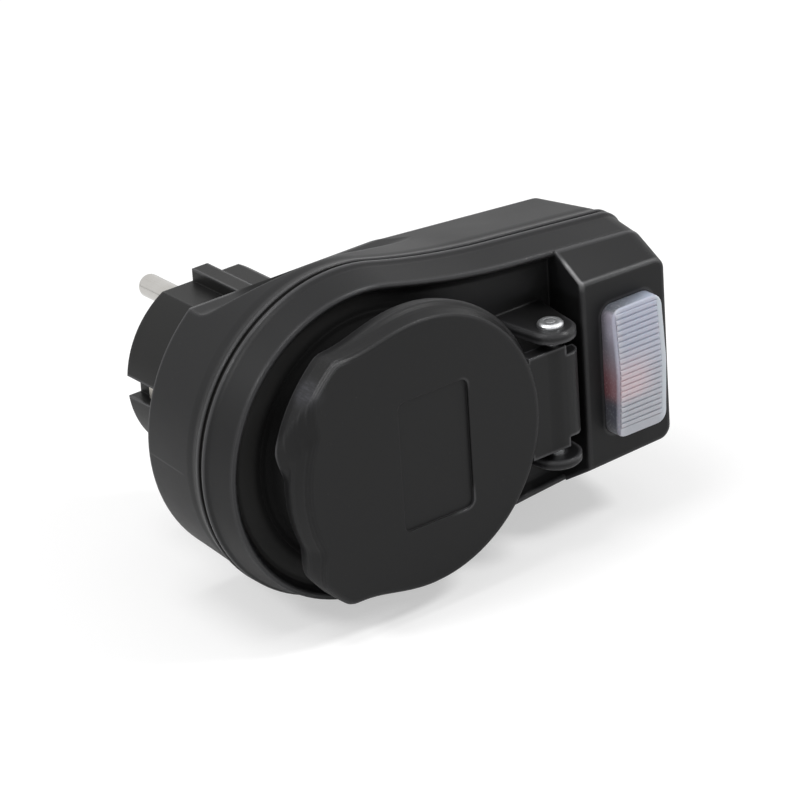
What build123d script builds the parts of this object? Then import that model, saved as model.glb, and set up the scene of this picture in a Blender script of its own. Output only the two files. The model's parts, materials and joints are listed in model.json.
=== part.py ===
from build123d import *
import os
from math import asin, atan, cos, degrees, hypot, pi, radians, sin, sqrt, tan

# Switched splash-proof through-adapter for earthed round-pin plugs, in millimetres.
# +X runs along the body towards the switch, +Y points into the wall socket and +Z is up
# as the adapter lies on its long edge. The origin is on the plug's axis at the housing's back.
# "Out" is a distance along -Y, away from the wall. Depths behind the housing's back are negative.

# Plug
PIN_R = 2.4
PIN_PITCH = 19.0
PIN_REACH = 19.0
PIN_TIP_ROUND = 1.5
PIN_ROOT_R = 2.1
PIN_END_OUT = -6.0
INSERT_R = 19.2
INSERT_REACH = 25.6
INSERT_FLAT = 16.85
INSERT_EDGE = 0.35
KEY_HALF = 1.9
KEY_TOP = 19.4
SLOT_HALF = 2.1
SLOT_DEPTH = 3.0
FLANGE_R = 22.4
FLANGE_T = 2.5
SPIGOT_R = 4.5
SPIGOT_H = 4.7

# Housing outline: a disc with a flat-sided tongue towards +X
NEAR_X = 28.0
WALL_X = -1.1
WALL_R = 32.8
WAIST_IN = 5.4
NARROWING = 3.9
END_X = 68.4
CORNER_R = 5.2
BLEND_R = 180.0
BACK_SHIFT = 1.1
BACK_IN = 0.3
BACK_WAIST_IN = 7.8
BACK_NARROWING = 3.4
BACK_END_IN = 1.4
BACK_CORNER_R = 4.2
BACK_BLEND_R = 24.0
LIP_PROUD = 0.6
LIP_ROUND = 0.15
LIP_FLAT = 0.45
REAR_FLARE = 2.6
FRONT_FLARE = 1.5
HOUSING_T = 2.2
BACK_T = 2.4
REAR_DEPTH = 19.0
GASKET_T = 1.0
GASKET_INSET = 0.65
GASKET_W = 1.6
CHORD_IN = 7.4
CHORD_OUT = 5.0
CHORD_SLANT = 40.0
CHORD_ROUND = 5.0
BACK_EDGE = 0.25

# Front half
FRONT_WALL = 8.2
RIM_SHIFT = 0.6
RIM_IN = 1.2
RIM_WAIST_IN = 1.3
RIM_NARROWING = 3.3
RIM_END_IN = 0.5
RIM_CORNER_R = 4.7
RIM_W = 1.3
RIM_ROUND = 0.6
DECK_SINK = 2.2
DECK_T = 2.2
DISH_SLOPE = 0.7
DECK_ROUND = 1.1
COLLAR_R = 23.6
COLLAR_STEP_R = 25.4
COLLAR_STEP = 0.5
COLLAR_H = 10.6
COLLAR_FOOT = 0.8

# Switch box
BOX_X = 45.8
BOX_H = 7.8
BOX_SIDE_IN = 3.7
BOX_NARROWING = 0.7
BOX_END_IN = 1.3
BOX_CORNER_R = 2.6
BOX_T = 2.2
BOX_ROUND = 0.7

# Socket
SOCKET_CLEAR = 0.5
SOCKET_DEPTH = 17.5
CUP_BELOW_RIM = 0.4
CUP_WALL = 1.5
CUP_GAP = 0.2
CUP_FLOOR_T = 3.5
PIN_HOLE_R = 2.9
SLEEVE_CLEAR = 0.05
SLEEVE_WALL = 0.85
SLEEVE_END_T = 1.0
PIN_ROOM = 1.3
CARRIER_R = 16.0
BORE_GAP = 0.1

# Earth path
EARTH_W = 3.6
EARTH_T = 0.8
EARTH_GAP = 0.3
EARTH_TIP_INSET = 5.0
EARTH_BOW = 0.7
LINK_R = 5.4

# Screws
SCREW_R = 1.5
SCREW_HEAD_R = 2.8
SCREW_HEAD_H = 1.8
SCREW_SEAT_OUT = 10.5
SCREW_BITE = 4.4
WELL_GAP = 0.3
BOSS_R = 4.2
BACK_SCREW_X = -19.5
BACK_SCREW_Z = 18.5
SIDE_SCREW_X = 42.0
SIDE_SCREW_Z = 17.5
CENTRE_SCREW_R = 2.0
CENTRE_HEAD_R = 3.3
CENTRE_HEAD_H = 1.8
CENTRE_SCREW_BITE = 9.0
THREAD_GAP = 0.03

# Lid
LID_X = 3.6
LID_R = 27.4
LID_NOSE_R = 29.1
LID_OUT = 40.0
LID_H = 6.6
LID_T = 2.0
LID_EDGE = 0.9
LID_NOSE_DROP = 3.6
LID_POINTS = 144
GRIP_R = 32.1
GRIP_HALF_Z = 25.4
GRIP_BLEND = 3.0
SCOOP_R = 29.4
SCOOP_ANGLE = 38.5
SCOOP_BACK_ANGLE = 16.0
SCOOP_LOW_BACK_ANGLE = 37.0
SCOOP_FADE = 14.0
HORN_ROUND = 0.9
CAVITY_R = 26.7
COLLAR_ROOM = 1.0
LABEL_X = 5.7
LABEL_Z = -1.2
LABEL_W = 16.7
LABEL_H = 27.0
LABEL_DEPTH = 0.5
LABEL_ROUND = 1.6
SEAL_T = 1.3
SEAL_W = 2.4
SEAL_GAP = 0.1

# Hinge
HINGE_X = 37.3
HINGE_OUT = 36.6
RIVET_R = 1.5
RIVET_FIT = 0.06
RIVET_HEAD_R = 2.6
RIVET_HEAD_H = 0.9
EAR_R = 4.9
EAR_T = 2.0
EAR_GAP = 1.7
EAR_EDGE = 0.5
EAR_FOOT = 6.6
ARM_HALF_Z = 10.7
KNUCKLE_HALF_Z = 8.7
KNUCKLE_R = 2.9
ARM_PROUD = 3.0
ARM_T = 3.2
ARM_PAST = 5.1
ARM_ROUND = 2.6

# Lid spring
WIRE_R = 0.25
COIL_R = 1.95
COIL_PITCH = 0.95
COIL_TURNS = 8
SPRING_SLOT_HALF = 4.7
SPRING_SLOT_R = 2.3
SPRING_ARM = 7.0
SPRING_FOOT_GAP = 0.1

# Switch
BOOT_X = 56.7
BOOT_W = 12.6
BOOT_H = 27.4
BOOT_ROUND = 2.6
BOOT_PROUD = 3.8
BOOT_T = 1.2
BOOT_GAP = 0.1
BOOT_FLANGE = 1.2
BOOT_FLANGE_T = 1.3
BOOT_EDGE = 0.6
RIB_COUNT = 21
RIB_PITCH = 1.2
RIB_H = 0.3
RIB_W = 0.75
RIB_LEN = 10.0
FACET_ANGLE = 4.0
REST_TILT = 4.0
SWITCH_W = 14.6
SWITCH_H = 28.8
SWITCH_BACK_OUT = 15.0
SWITCH_WALL = 2.0
SWITCH_FLOOR_OUT = 19.5
ROCKER_W = 8.6
ROCKER_H = 19.4
ROCKER_TOP_GAP = 0.5
ROCKER_T = 1.4
ROCKER_SKIRT_OUT = 28.6
PIVOT_OUT = 31.0
PIVOT_R = 1.2
PIVOT_FIT = 0.06
PIVOT_LEN = 1.6
PLUNGER_R = 1.0
PLUNGER_FIT = 0.04
PLUNGER_BOSS_R = 1.9
PLUNGER_GAP = 0.12
LEVER_OUT = 21.6
LEVER_T = 0.8
LEVER_W = 4.0
LEVER_HALF_Z = 7.8
LEVER_TILT = 6.0
LEVER_GAP = 0.12
TAB_W = 4.8
TAB_T = 0.8
TAB_END_OUT = 8.4
TAB_PITCH = 7.4
LAMP_R = 1.5
LAMP_LEN = 5.8
LAMP_Z = 5.0
LAMP_OUT = 25.4

# Inner leads
LEAD_R = 1.1
LEAD_FLOOR_OUT = 4.6
LEAD_BEND = 3.6
LEAD_WIDE_BEND = 5.0
LEAD_START = 10.0
LEAD_DROP = 1.0
LEAD_RUN_IN = 9.0
LEAD_MIDDLE_X = 30.0
LEAD_MIDDLE_Z = 11.5
RETURN_MIDDLE_X = 34.0
RETURN_MIDDLE_Z = 3.0
LAMP_MIDDLE_Z = -10.5
LUG_OUT = 8.3
LUG_W = 4.0
LUG_T = 0.8
LUG_GAP = 0.6

# Places worked out from the sizes above
NEAR_Z = WALL_R - WAIST_IN
FAR_Z = NEAR_Z - NARROWING
BACK_X = WALL_X + BACK_SHIFT
BACK_R = WALL_R - BACK_IN
BACK_NEAR_Z = BACK_R - BACK_WAIST_IN
BACK_FAR_Z = BACK_NEAR_Z - BACK_NARROWING
BACK_END_X = END_X - BACK_END_IN
BACK_CHORD_Z = BACK_R - CHORD_IN
RIM_X = WALL_X - RIM_SHIFT
RIM_R = WALL_R - RIM_IN
RIM_NEAR_Z = NEAR_Z - RIM_WAIST_IN
RIM_FAR_Z = RIM_NEAR_Z - RIM_NARROWING
RIM_END_X = END_X - RIM_END_IN
BOX_FACE_FAR_Z = RIM_FAR_Z - BOX_SIDE_IN
BOX_FACE_NEAR_Z = BOX_FACE_FAR_Z + BOX_NARROWING
BOX_FACE_END_X = RIM_END_X - BOX_END_IN
FRONT_START = REAR_DEPTH + GASKET_T
RIM_OUT = FRONT_START + FRONT_WALL
DECK_OUT = RIM_OUT - DECK_SINK
DECK_UNDER = DECK_OUT - DECK_T
COLLAR_OUT = DECK_OUT + COLLAR_H
FACE_OUT = RIM_OUT + BOX_H
CUP_RIM_OUT = COLLAR_OUT - CUP_BELOW_RIM
SOCKET_FLOOR_OUT = CUP_RIM_OUT - SOCKET_DEPTH
CUP_BACK_OUT = SOCKET_FLOOR_OUT - CUP_FLOOR_T
CUP_R = INSERT_R + SOCKET_CLEAR + CUP_WALL
COLLAR_BORE_R = CUP_R + CUP_GAP
SLEEVE_R = PIN_R + SLEEVE_CLEAR
SLEEVE_OUTER_R = SLEEVE_R + SLEEVE_WALL
SLEEVE_BOTTOM_OUT = SOCKET_FLOOR_OUT - PIN_REACH - PIN_ROOM
PIN_Z = PIN_PITCH / 2
SLOT_FLOOR = INSERT_R - SLOT_DEPTH
FLANGE_OUT = BACK_T + FLANGE_T
SPIGOT_OUT = FLANGE_OUT + SPIGOT_H
LINK_OUT = SPIGOT_OUT + EARTH_T
EARTH_X = SLOT_FLOOR + EARTH_GAP + EARTH_T / 2
CONTACT_LEAD_OUT = LINK_OUT - LEAD_R - BORE_GAP - LEAD_DROP
LID_BACK_OUT = LID_OUT - LID_H
LID_CEILING_OUT = LID_OUT - LID_T
EAR_INNER_Z = ARM_HALF_Z + EAR_GAP
EAR_OUTER_Z = EAR_INNER_Z + EAR_T
BOOT_SEAT_OUT = FACE_OUT - BOX_T
SWITCH_TOP_OUT = BOOT_SEAT_OUT - BOOT_FLANGE_T
SCREW_PLACES = [
    (BACK_SCREW_X, BACK_SCREW_Z),
    (BACK_SCREW_X, -BACK_SCREW_Z),
    (SIDE_SCREW_X, SIDE_SCREW_Z),
    (SIDE_SCREW_X, -SIDE_SCREW_Z),
]


def at_out(out):
    """Sketch plane across the plug's axis: local x is +X, local y is +Z, its normal points out."""
    return Plane.XZ.offset(out)


def slab(sketch, start, end):
    """Sketch pulled from one depth to another."""
    return extrude(at_out(start) * sketch, amount=end - start)


def disc(radius, start, end, x=0.0, z=0.0):
    return slab(Pos(x, z) * Circle(radius), start, end)


def side_plate(points, half_z, z=0.0):
    """Polygon in (x, out) pulled along Z, centred on the given height."""
    corners = [(x, -out) for x, out in points]
    face = make_face(Polyline(*corners, close=True))
    return extrude(Pos(0, 0, z - half_z) * face, amount=2 * half_z)


def across(points, half_x, x=0.0):
    """Polygon in (z, out) pulled along X, centred on the given place."""
    wire = Wire.make_polygon([Vector(x - half_x, -out, z) for z, out in points], close=True)
    return extrude(Face(wire), amount=2 * half_x, dir=(1, 0, 0))


def post(radius, low_z, high_z, x=HINGE_X, out=HINGE_OUT):
    """Round bar along Z."""
    return extrude(Pos(x, -out, low_z) * Circle(radius), amount=high_z - low_z)


def outline(disc_x, round_r, near_z, far_z, end_x, corner_r, blend_r, grow=0.0):
    """Disc with a tapered tongue, blended by hollow arcs and grown evenly all round."""
    tilt = atan((near_z - far_z) / (end_x - NEAR_X))
    along = Vector(cos(tilt), -sin(tilt))
    normal = Vector(sin(tilt), cos(tilt))
    reach = normal.X * (NEAR_X - disc_x) + normal.Y * near_z + grow
    disc_r = round_r + grow
    blend = blend_r - grow
    corner = corner_r + grow
    side = end_x - disc_x + grow
    slide = sqrt((disc_r + blend) ** 2 - (reach + blend) ** 2)
    centre = normal * (reach + blend) + along * slide
    on_disc = centre * (disc_r / (disc_r + blend))
    on_line = centre - normal * blend
    hollow = centre + ((on_disc - centre) + (on_line - centre)).normalized() * blend
    knee_x = side - corner
    knee = Vector(knee_x, (reach - corner - normal.X * knee_x) / normal.Y)
    corner_top = knee + normal * corner
    corner_mid = knee + (normal + Vector(1, 0)).normalized() * corner
    corner_end = Vector(side, knee.Y)

    def low(point):
        return Vector(point.X, -point.Y)

    edges = [
        ThreePointArc(on_disc, Vector(-disc_r, 0), low(on_disc)),
        ThreePointArc(low(on_disc), low(hollow), low(on_line)),
        Line(low(on_line), low(corner_top)),
        ThreePointArc(low(corner_top), low(corner_mid), low(corner_end)),
        Line(low(corner_end), corner_end),
        ThreePointArc(corner_end, corner_mid, corner_top),
        Line(corner_top, on_line),
        ThreePointArc(on_line, hollow, on_disc),
    ]
    return Pos(disc_x, 0) * make_face(edges)


def wall_outline(grow=0.0):
    return outline(WALL_X, WALL_R, NEAR_Z, FAR_Z, END_X, CORNER_R, BLEND_R, grow)


def back_outline(grow=0.0):
    return outline(BACK_X, BACK_R, BACK_NEAR_Z, BACK_FAR_Z, BACK_END_X, BACK_CORNER_R, BACK_BLEND_R, grow)


def rim_outline(grow=0.0):
    return outline(RIM_X, RIM_R, RIM_NEAR_Z, RIM_FAR_Z, RIM_END_X, RIM_CORNER_R, BLEND_R, grow)


def stack(levels):
    """Solid through a row of like plans, each at its own depth."""
    body = None
    for (low, plan), (high, next_plan) in zip(levels, levels[1:]):
        layer = loft([at_out(low) * plan, at_out(high) * next_plan], ruled=True)
        body = layer if body is None else body + layer
    return body


def lip(end_out, side, flare):
    """Lip along the parting line: rounded edge, short flat and a hollow flare, as depth and growth."""
    levels = [
        (end_out, LIP_PROUD - LIP_ROUND),
        (end_out + side * LIP_ROUND, LIP_PROUD),
        (end_out + side * (LIP_ROUND + LIP_FLAT), LIP_PROUD),
    ]
    start = end_out + side * (LIP_ROUND + LIP_FLAT)
    for i in range(1, 5):
        share = i / 4
        levels.append((start + side * flare * share, LIP_PROUD * (1 - share) ** 2))
    return levels


def chord_cut(inset, rounding):
    """Prisms that flatten the back's round top and bottom, then rise to the full disc."""
    slant = radians(CHORD_SLANT)
    flat = BACK_CHORD_Z - inset
    bend = CHORD_OUT + inset * tan(slant / 2)
    top = WALL_R + REAR_DEPTH
    run = (top - flat) / tan(slant)
    corners = [(-1.0, flat), (bend, flat), (bend + run, top), (-1.0, top)]
    face = make_face(Polyline(*corners, close=True))
    if rounding:
        face = fillet(face.vertices().sort_by(Axis.X)[2:3], rounding)
    length = 2 * WALL_R + END_X
    frame = Plane(origin=(-WALL_R - 2, 0, 0), x_dir=(0, -1, 0), z_dir=(1, 0, 0))
    mirror_frame = Plane(origin=(-WALL_R - 2 + length, 0, 0), x_dir=(0, -1, 0), z_dir=(-1, 0, 0))
    lower = extrude(frame * face, amount=length)
    upper = extrude(mirror_frame * face, amount=length)
    return lower + upper


def insert_section(grow=0.0, slots=False):
    """Plug profile: disc with two flats, a key rib on each flat and two earth slots."""
    radius = INSERT_R + grow
    section = Circle(radius) & Rectangle(2 * radius, 2 * (INSERT_FLAT + grow))
    section += Rectangle(2 * (KEY_HALF + grow), 2 * (KEY_TOP + grow))
    if slots:
        for side in (-1, 1):
            middle = side * (SLOT_FLOOR + INSERT_R) / 2
            section -= Pos(middle, 0) * Rectangle(INSERT_R - SLOT_FLOOR + 0.01, 2 * SLOT_HALF)
    return section


def strip(points, thickness):
    """Outline of a bent strip of even thickness about a centre line."""
    left, right = [], []
    last = len(points) - 1
    for i, (x, y) in enumerate(points):
        before = points[max(i - 1, 0)]
        after = points[min(i + 1, last)]
        into = (Vector(x, y) - Vector(*before)) if i else (Vector(*after) - Vector(x, y))
        away = (Vector(*after) - Vector(x, y)) if i < last else into
        into, away = into.normalized(), away.normalized()
        mean = (into + away).normalized()
        side = Vector(-mean.Y, mean.X) * (thickness / 2 / into.dot(mean))
        left.append((x + side.X, y + side.Y))
        right.append((x - side.X, y - side.Y))
    return left + right[::-1]


def rear_shell():
    rear_lip = lip(REAR_DEPTH, -1, REAR_FLARE)[::-1]
    wall_out = rear_lip[0][0]
    shell = stack([(0, back_outline(-BACK_EDGE)), (BACK_EDGE, back_outline()), (wall_out, wall_outline())])
    shell -= chord_cut(0.0, CHORD_ROUND)
    shell += stack([(out, wall_outline(grow)) for out, grow in rear_lip])
    room = loft(
        [at_out(BACK_T) * back_outline(-HOUSING_T), at_out(wall_out) * wall_outline(-HOUSING_T)], ruled=True
    )
    room -= chord_cut(HOUSING_T, 0.0)
    room += slab(wall_outline(-HOUSING_T), wall_out, REAR_DEPTH)
    shell -= room
    for x, z in SCREW_PLACES:
        boss = disc(BOSS_R, BACK_T / 2, REAR_DEPTH, x, z) & (room + slab(wall_outline(), 0, BACK_T + 0.01))
        shell += boss
    for x, z in SCREW_PLACES:
        shell -= disc(SCREW_HEAD_R + WELL_GAP, -1, SCREW_SEAT_OUT, x, z)
        shell -= disc(SCREW_R + THREAD_GAP, SCREW_SEAT_OUT - 1, REAR_DEPTH + 1, x, z)
    shell -= slab(insert_section(CUP_GAP), -1, BACK_T + 1)
    return shell


def box_section(near_z, far_z, end_x, corner_r, grow=0.0):
    """Plan of the switch box at one depth: straight inner side, two rounded outer corners."""
    near_x = BOX_X - grow
    far_x = end_x + grow
    corners = [
        (near_x, near_z + grow),
        (near_x, -near_z - grow),
        (far_x, -far_z - grow),
        (far_x, far_z + grow),
    ]
    face = make_face(Polyline(*corners, close=True))
    return fillet(face.vertices().sort_by(Axis.X)[-2:], corner_r + grow)


def edge_z(x, near_z, far_z, end_x):
    return near_z + (far_z - near_z) * (x - NEAR_X) / (end_x - NEAR_X)


def switch_box(grow=0.0):
    base = box_foot(grow)
    top = box_section(BOX_FACE_NEAR_Z, BOX_FACE_FAR_Z, BOX_FACE_END_X, BOX_CORNER_R, grow)
    return loft([at_out(RIM_OUT + grow) * base, at_out(FACE_OUT + grow) * top], ruled=True)


def box_foot(grow=0.0):
    rim_near = edge_z(BOX_X, RIM_NEAR_Z, RIM_FAR_Z, RIM_END_X)
    return box_section(rim_near, RIM_FAR_Z, RIM_END_X, RIM_CORNER_R, grow)


def ear(side):
    """Hinge ear: a round end on a foot that widens towards the deck."""
    foot = EAR_FOOT
    low = DECK_OUT - DECK_T / 2
    cheek = [
        (HINGE_X - foot, low),
        (HINGE_X + foot, low),
        (HINGE_X + EAR_R, HINGE_OUT),
        (HINGE_X - EAR_R, HINGE_OUT),
    ]
    middle = side * (EAR_INNER_Z + EAR_T / 2)
    body = side_plate(cheek, EAR_T / 2, middle) + post(EAR_R, middle - EAR_T / 2, middle + EAR_T / 2)
    outer = body.faces().sort_by(Axis.Z)[-1 if side > 0 else 0]
    rim = [e for e in outer.edges() if -e.center().Y > low + 1]
    return chamfer(rim, EAR_EDGE)


def front_shell():
    front_lip = lip(FRONT_START, 1, FRONT_FLARE)
    round_out = RIM_OUT - RIM_ROUND
    levels = [(out, wall_outline(grow)) for out, grow in front_lip]
    levels += [(round_out, rim_outline())]
    levels += [(round_out + 0.6 * RIM_ROUND, rim_outline(-0.2 * RIM_ROUND))]
    levels += [(RIM_OUT, rim_outline(-RIM_ROUND))]
    shell = stack(levels)
    inside = Pos((BOX_X - 2 * WALL_R) / 2, 0) * Rectangle(BOX_X + 2 * WALL_R, 4 * WALL_R)
    foot_out = DECK_OUT + DECK_ROUND
    dish_levels = [
        (DECK_OUT, RIM_W + DISH_SLOPE + DECK_ROUND),
        (DECK_OUT + 0.3 * DECK_ROUND, RIM_W + DISH_SLOPE + 0.3 * DECK_ROUND),
        (foot_out, RIM_W + DISH_SLOPE / 2),
        (round_out, RIM_W),
        (round_out + 0.6 * RIM_ROUND, RIM_W - 0.2 * RIM_ROUND),
        (RIM_OUT, RIM_W - RIM_ROUND),
    ]
    dish = stack([(out, rim_outline(-inset) & inside) for out, inset in dish_levels])
    dish += slab(rim_outline(RIM_ROUND - RIM_W) & inside, RIM_OUT, RIM_OUT + 1)
    shell -= dish
    box = switch_box()
    face = box.faces().sort_by(Axis.Y)[0]
    shell += fillet(face.edges(), BOX_ROUND)
    room = slab(wall_outline(-HOUSING_T), FRONT_START - 1, DECK_UNDER)
    room += switch_box(-BOX_T)
    room += slab(box_foot(-BOX_T), DECK_UNDER - 1, RIM_OUT - BOX_T)
    shell -= room
    collar = disc(COLLAR_R, DECK_OUT, COLLAR_OUT)
    shell += collar + disc(COLLAR_STEP_R, DECK_UNDER, DECK_OUT + COLLAR_STEP)
    shell += extrude(at_out(DECK_OUT + COLLAR_STEP) * Circle(COLLAR_R + COLLAR_FOOT), amount=COLLAR_FOOT, taper=45)
    for side in (-1, 1):
        shell += ear(side)
    for x, z in SCREW_PLACES:
        shell += disc(BOSS_R, REAR_DEPTH, DECK_OUT - DECK_T / 2, x, z) & slab(
            wall_outline(-HOUSING_T / 2), REAR_DEPTH, DECK_OUT
        )
    shell -= disc(COLLAR_BORE_R, REAR_DEPTH - 1, COLLAR_OUT + 1)
    for x, z in SCREW_PLACES:
        shell -= disc(SCREW_R + THREAD_GAP, REAR_DEPTH - 1, REAR_DEPTH + SCREW_BITE + 0.6, x, z)
    shell -= post(RIVET_R + THREAD_GAP, -EAR_OUTER_Z - 1, EAR_OUTER_Z + 1)
    opening = Pos(BOOT_X, 0) * RectangleRounded(BOOT_W + 2 * BOOT_GAP, BOOT_H + 2 * BOOT_GAP, BOOT_ROUND)
    shell -= slab(opening, BOOT_SEAT_OUT - 1, FACE_OUT + 1)
    return shell


def shell_gasket():
    ring = wall_outline(LIP_PROUD - GASKET_INSET) - wall_outline(LIP_PROUD - GASKET_INSET - GASKET_W)
    body = slab(ring, REAR_DEPTH, FRONT_START)
    for x, z in SCREW_PLACES:
        body -= disc(BOSS_R + BORE_GAP, REAR_DEPTH - 1, FRONT_START + 1, x, z)
    return body


def plug_insert():
    body = slab(insert_section(slots=True), -INSERT_REACH, BACK_T)
    body = chamfer(body.faces().sort_by(Axis.Y)[-1].edges(), INSERT_EDGE)
    body += disc(FLANGE_R, BACK_T, FLANGE_OUT)
    body += disc(SPIGOT_R, FLANGE_OUT, SPIGOT_OUT)
    for z in (-PIN_Z, PIN_Z):
        body -= disc(PIN_ROOT_R + BORE_GAP, -INSERT_REACH - 1, PIN_END_OUT, z=z)
        body -= disc(SLEEVE_OUTER_R + BORE_GAP, PIN_END_OUT, FLANGE_OUT + 1, z=z)
    lug_room = Pos(0, lug_centre_z()) * Rectangle(LUG_W + 2 * BORE_GAP, LUG_T + 2 * BORE_GAP)
    body -= slab(lug_room, PIN_END_OUT - BORE_GAP, FLANGE_OUT + 1)
    foot_room = Pos(0, (PIN_Z + lug_centre_z()) / 2) * Rectangle(
        LUG_W + 2 * BORE_GAP, lug_centre_z() - PIN_Z + LUG_T + 2 * BORE_GAP
    )
    body -= slab(foot_room, PIN_END_OUT - BORE_GAP, PIN_END_OUT + LUG_T + BORE_GAP)
    for side in (-1, 1):
        cut = Pos(side * EARTH_X, 0) * Rectangle(EARTH_T + 2 * EARTH_GAP, EARTH_W + 2 * EARTH_GAP)
        body -= slab(cut, BACK_T - 1, FLANGE_OUT + 1)
    body -= disc(CENTRE_SCREW_R + THREAD_GAP, SPIGOT_OUT - CENTRE_SCREW_BITE - 1, SPIGOT_OUT + 1)
    return body


def contact_pin(z):
    free = disc(PIN_R, -INSERT_REACH - PIN_REACH, -INSERT_REACH, z=z)
    free = fillet(free.faces().sort_by(Axis.Y)[-1].edges(), PIN_TIP_ROUND)
    return free + disc(PIN_ROOT_R, -INSERT_REACH, PIN_END_OUT, z=z)


def lug_centre_z():
    return PIN_Z + SLEEVE_OUTER_R + LUG_GAP + LUG_T / 2


def live_lug():
    """Angle strip from the live pin's inner end, past the sleeve, to the lead."""
    foot_low = PIN_Z - PIN_R / 2
    foot_high = lug_centre_z() + LUG_T / 2
    corners = [
        (foot_low, PIN_END_OUT),
        (foot_high, PIN_END_OUT),
        (foot_high, LUG_OUT),
        (foot_high - LUG_T, LUG_OUT),
        (foot_high - LUG_T, PIN_END_OUT + LUG_T),
        (foot_low, PIN_END_OUT + LUG_T),
    ]
    return across(corners, LUG_W / 2)


def contact_sleeve(z, tail):
    """Female contact: a slit sleeve with a closed end, and a tail when it meets its pin."""
    top = CUP_BACK_OUT
    bottom = SLEEVE_BOTTOM_OUT - SLEEVE_END_T
    body = disc(SLEEVE_OUTER_R, bottom, top, z=z) - disc(SLEEVE_R, SLEEVE_BOTTOM_OUT, top + 1, z=z)
    slit = Pos(0, z) * Rectangle(0.6, 4 * SLEEVE_OUTER_R)
    body -= slab(slit, top - 5.0, top + 1)
    if tail:
        body += disc(PIN_R - 0.4, PIN_END_OUT, bottom, z=z)
    return body


def contact_carrier():
    body = disc(CARRIER_R, LINK_OUT, CUP_BACK_OUT)
    for z in (-PIN_Z, PIN_Z):
        body -= disc(SLEEVE_OUTER_R + BORE_GAP, LINK_OUT - 1, CUP_BACK_OUT + 1, z=z)
    body -= disc(CENTRE_SCREW_R + BORE_GAP, LINK_OUT - 1, CUP_BACK_OUT + 1)
    return body


def socket_insert():
    body = disc(CUP_R, CUP_BACK_OUT, CUP_RIM_OUT)
    body -= slab(insert_section(SOCKET_CLEAR), SOCKET_FLOOR_OUT, CUP_RIM_OUT + 1)
    for z in (-PIN_Z, PIN_Z):
        body -= disc(PIN_HOLE_R, CUP_BACK_OUT - 1, SOCKET_FLOOR_OUT + 1, z=z)
    for side in (-1, 1):
        gap = EARTH_T + 2 * EARTH_GAP
        cut = Pos(side * (spring_x() + 0.1), 0) * Rectangle(gap + 0.2, EARTH_W + 2 * EARTH_GAP)
        body -= slab(cut, CUP_BACK_OUT - 1, SOCKET_FLOOR_OUT + 1)
    body -= disc(CENTRE_HEAD_R + BORE_GAP, SOCKET_FLOOR_OUT - CENTRE_HEAD_H, SOCKET_FLOOR_OUT + 1)
    body -= disc(CENTRE_SCREW_R + BORE_GAP, CUP_BACK_OUT - 1, SOCKET_FLOOR_OUT)
    return body


def spring_x():
    """Place of the earth spring's centre line inside the socket's cup."""
    return INSERT_R + SOCKET_CLEAR - EARTH_GAP - EARTH_T / 2


def earth_clip(side):
    tip = -INSERT_REACH + EARTH_TIP_INSET
    bend = LINK_OUT + 1.4
    top = CUP_RIM_OUT - 1.2
    line = [
        (EARTH_X, tip),
        (EARTH_X + EARTH_BOW, tip + 4.0),
        (EARTH_X, tip + 8.0),
        (EARTH_X, bend),
        (spring_x(), CUP_BACK_OUT - 1.2),
        (spring_x(), top - 6.0),
        (spring_x() - 2 * EARTH_BOW, top - 2.6),
        (spring_x() - EARTH_BOW / 2, top),
    ]
    points = [(side * x, out) for x, out in strip(line, EARTH_T)]
    return side_plate(points, EARTH_W / 2)


def earth_link():
    reach = EARTH_X - EARTH_T / 2
    body = slab(Rectangle(2 * reach, EARTH_W), SPIGOT_OUT, LINK_OUT)
    body += disc(LINK_R, SPIGOT_OUT, LINK_OUT)
    return body - disc(CENTRE_SCREW_R + BORE_GAP, SPIGOT_OUT - 1, LINK_OUT + 1)


def centre_screw():
    body = disc(CENTRE_SCREW_R, SPIGOT_OUT - CENTRE_SCREW_BITE, SOCKET_FLOOR_OUT - CENTRE_HEAD_H)
    body += disc(CENTRE_HEAD_R, SOCKET_FLOOR_OUT - CENTRE_HEAD_H, SOCKET_FLOOR_OUT - 0.1)
    return body - slab(Rectangle(2 * CENTRE_HEAD_R, 0.9), SOCKET_FLOOR_OUT - 1.0, SOCKET_FLOOR_OUT)


def housing_screws():
    screws = []
    for x, z in SCREW_PLACES:
        screw = disc(SCREW_R, SCREW_SEAT_OUT, REAR_DEPTH + SCREW_BITE, x, z)
        screw += disc(SCREW_HEAD_R, SCREW_SEAT_OUT - SCREW_HEAD_H, SCREW_SEAT_OUT, x, z)
        for bar in (Rectangle(3.2, 0.7), Rectangle(0.7, 3.2)):
            screw -= slab(Pos(x, z) * bar, SCREW_SEAT_OUT - SCREW_HEAD_H - 1, SCREW_SEAT_OUT - 0.8)
        screws.append(screw)
    return Compound(children=screws)


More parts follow.
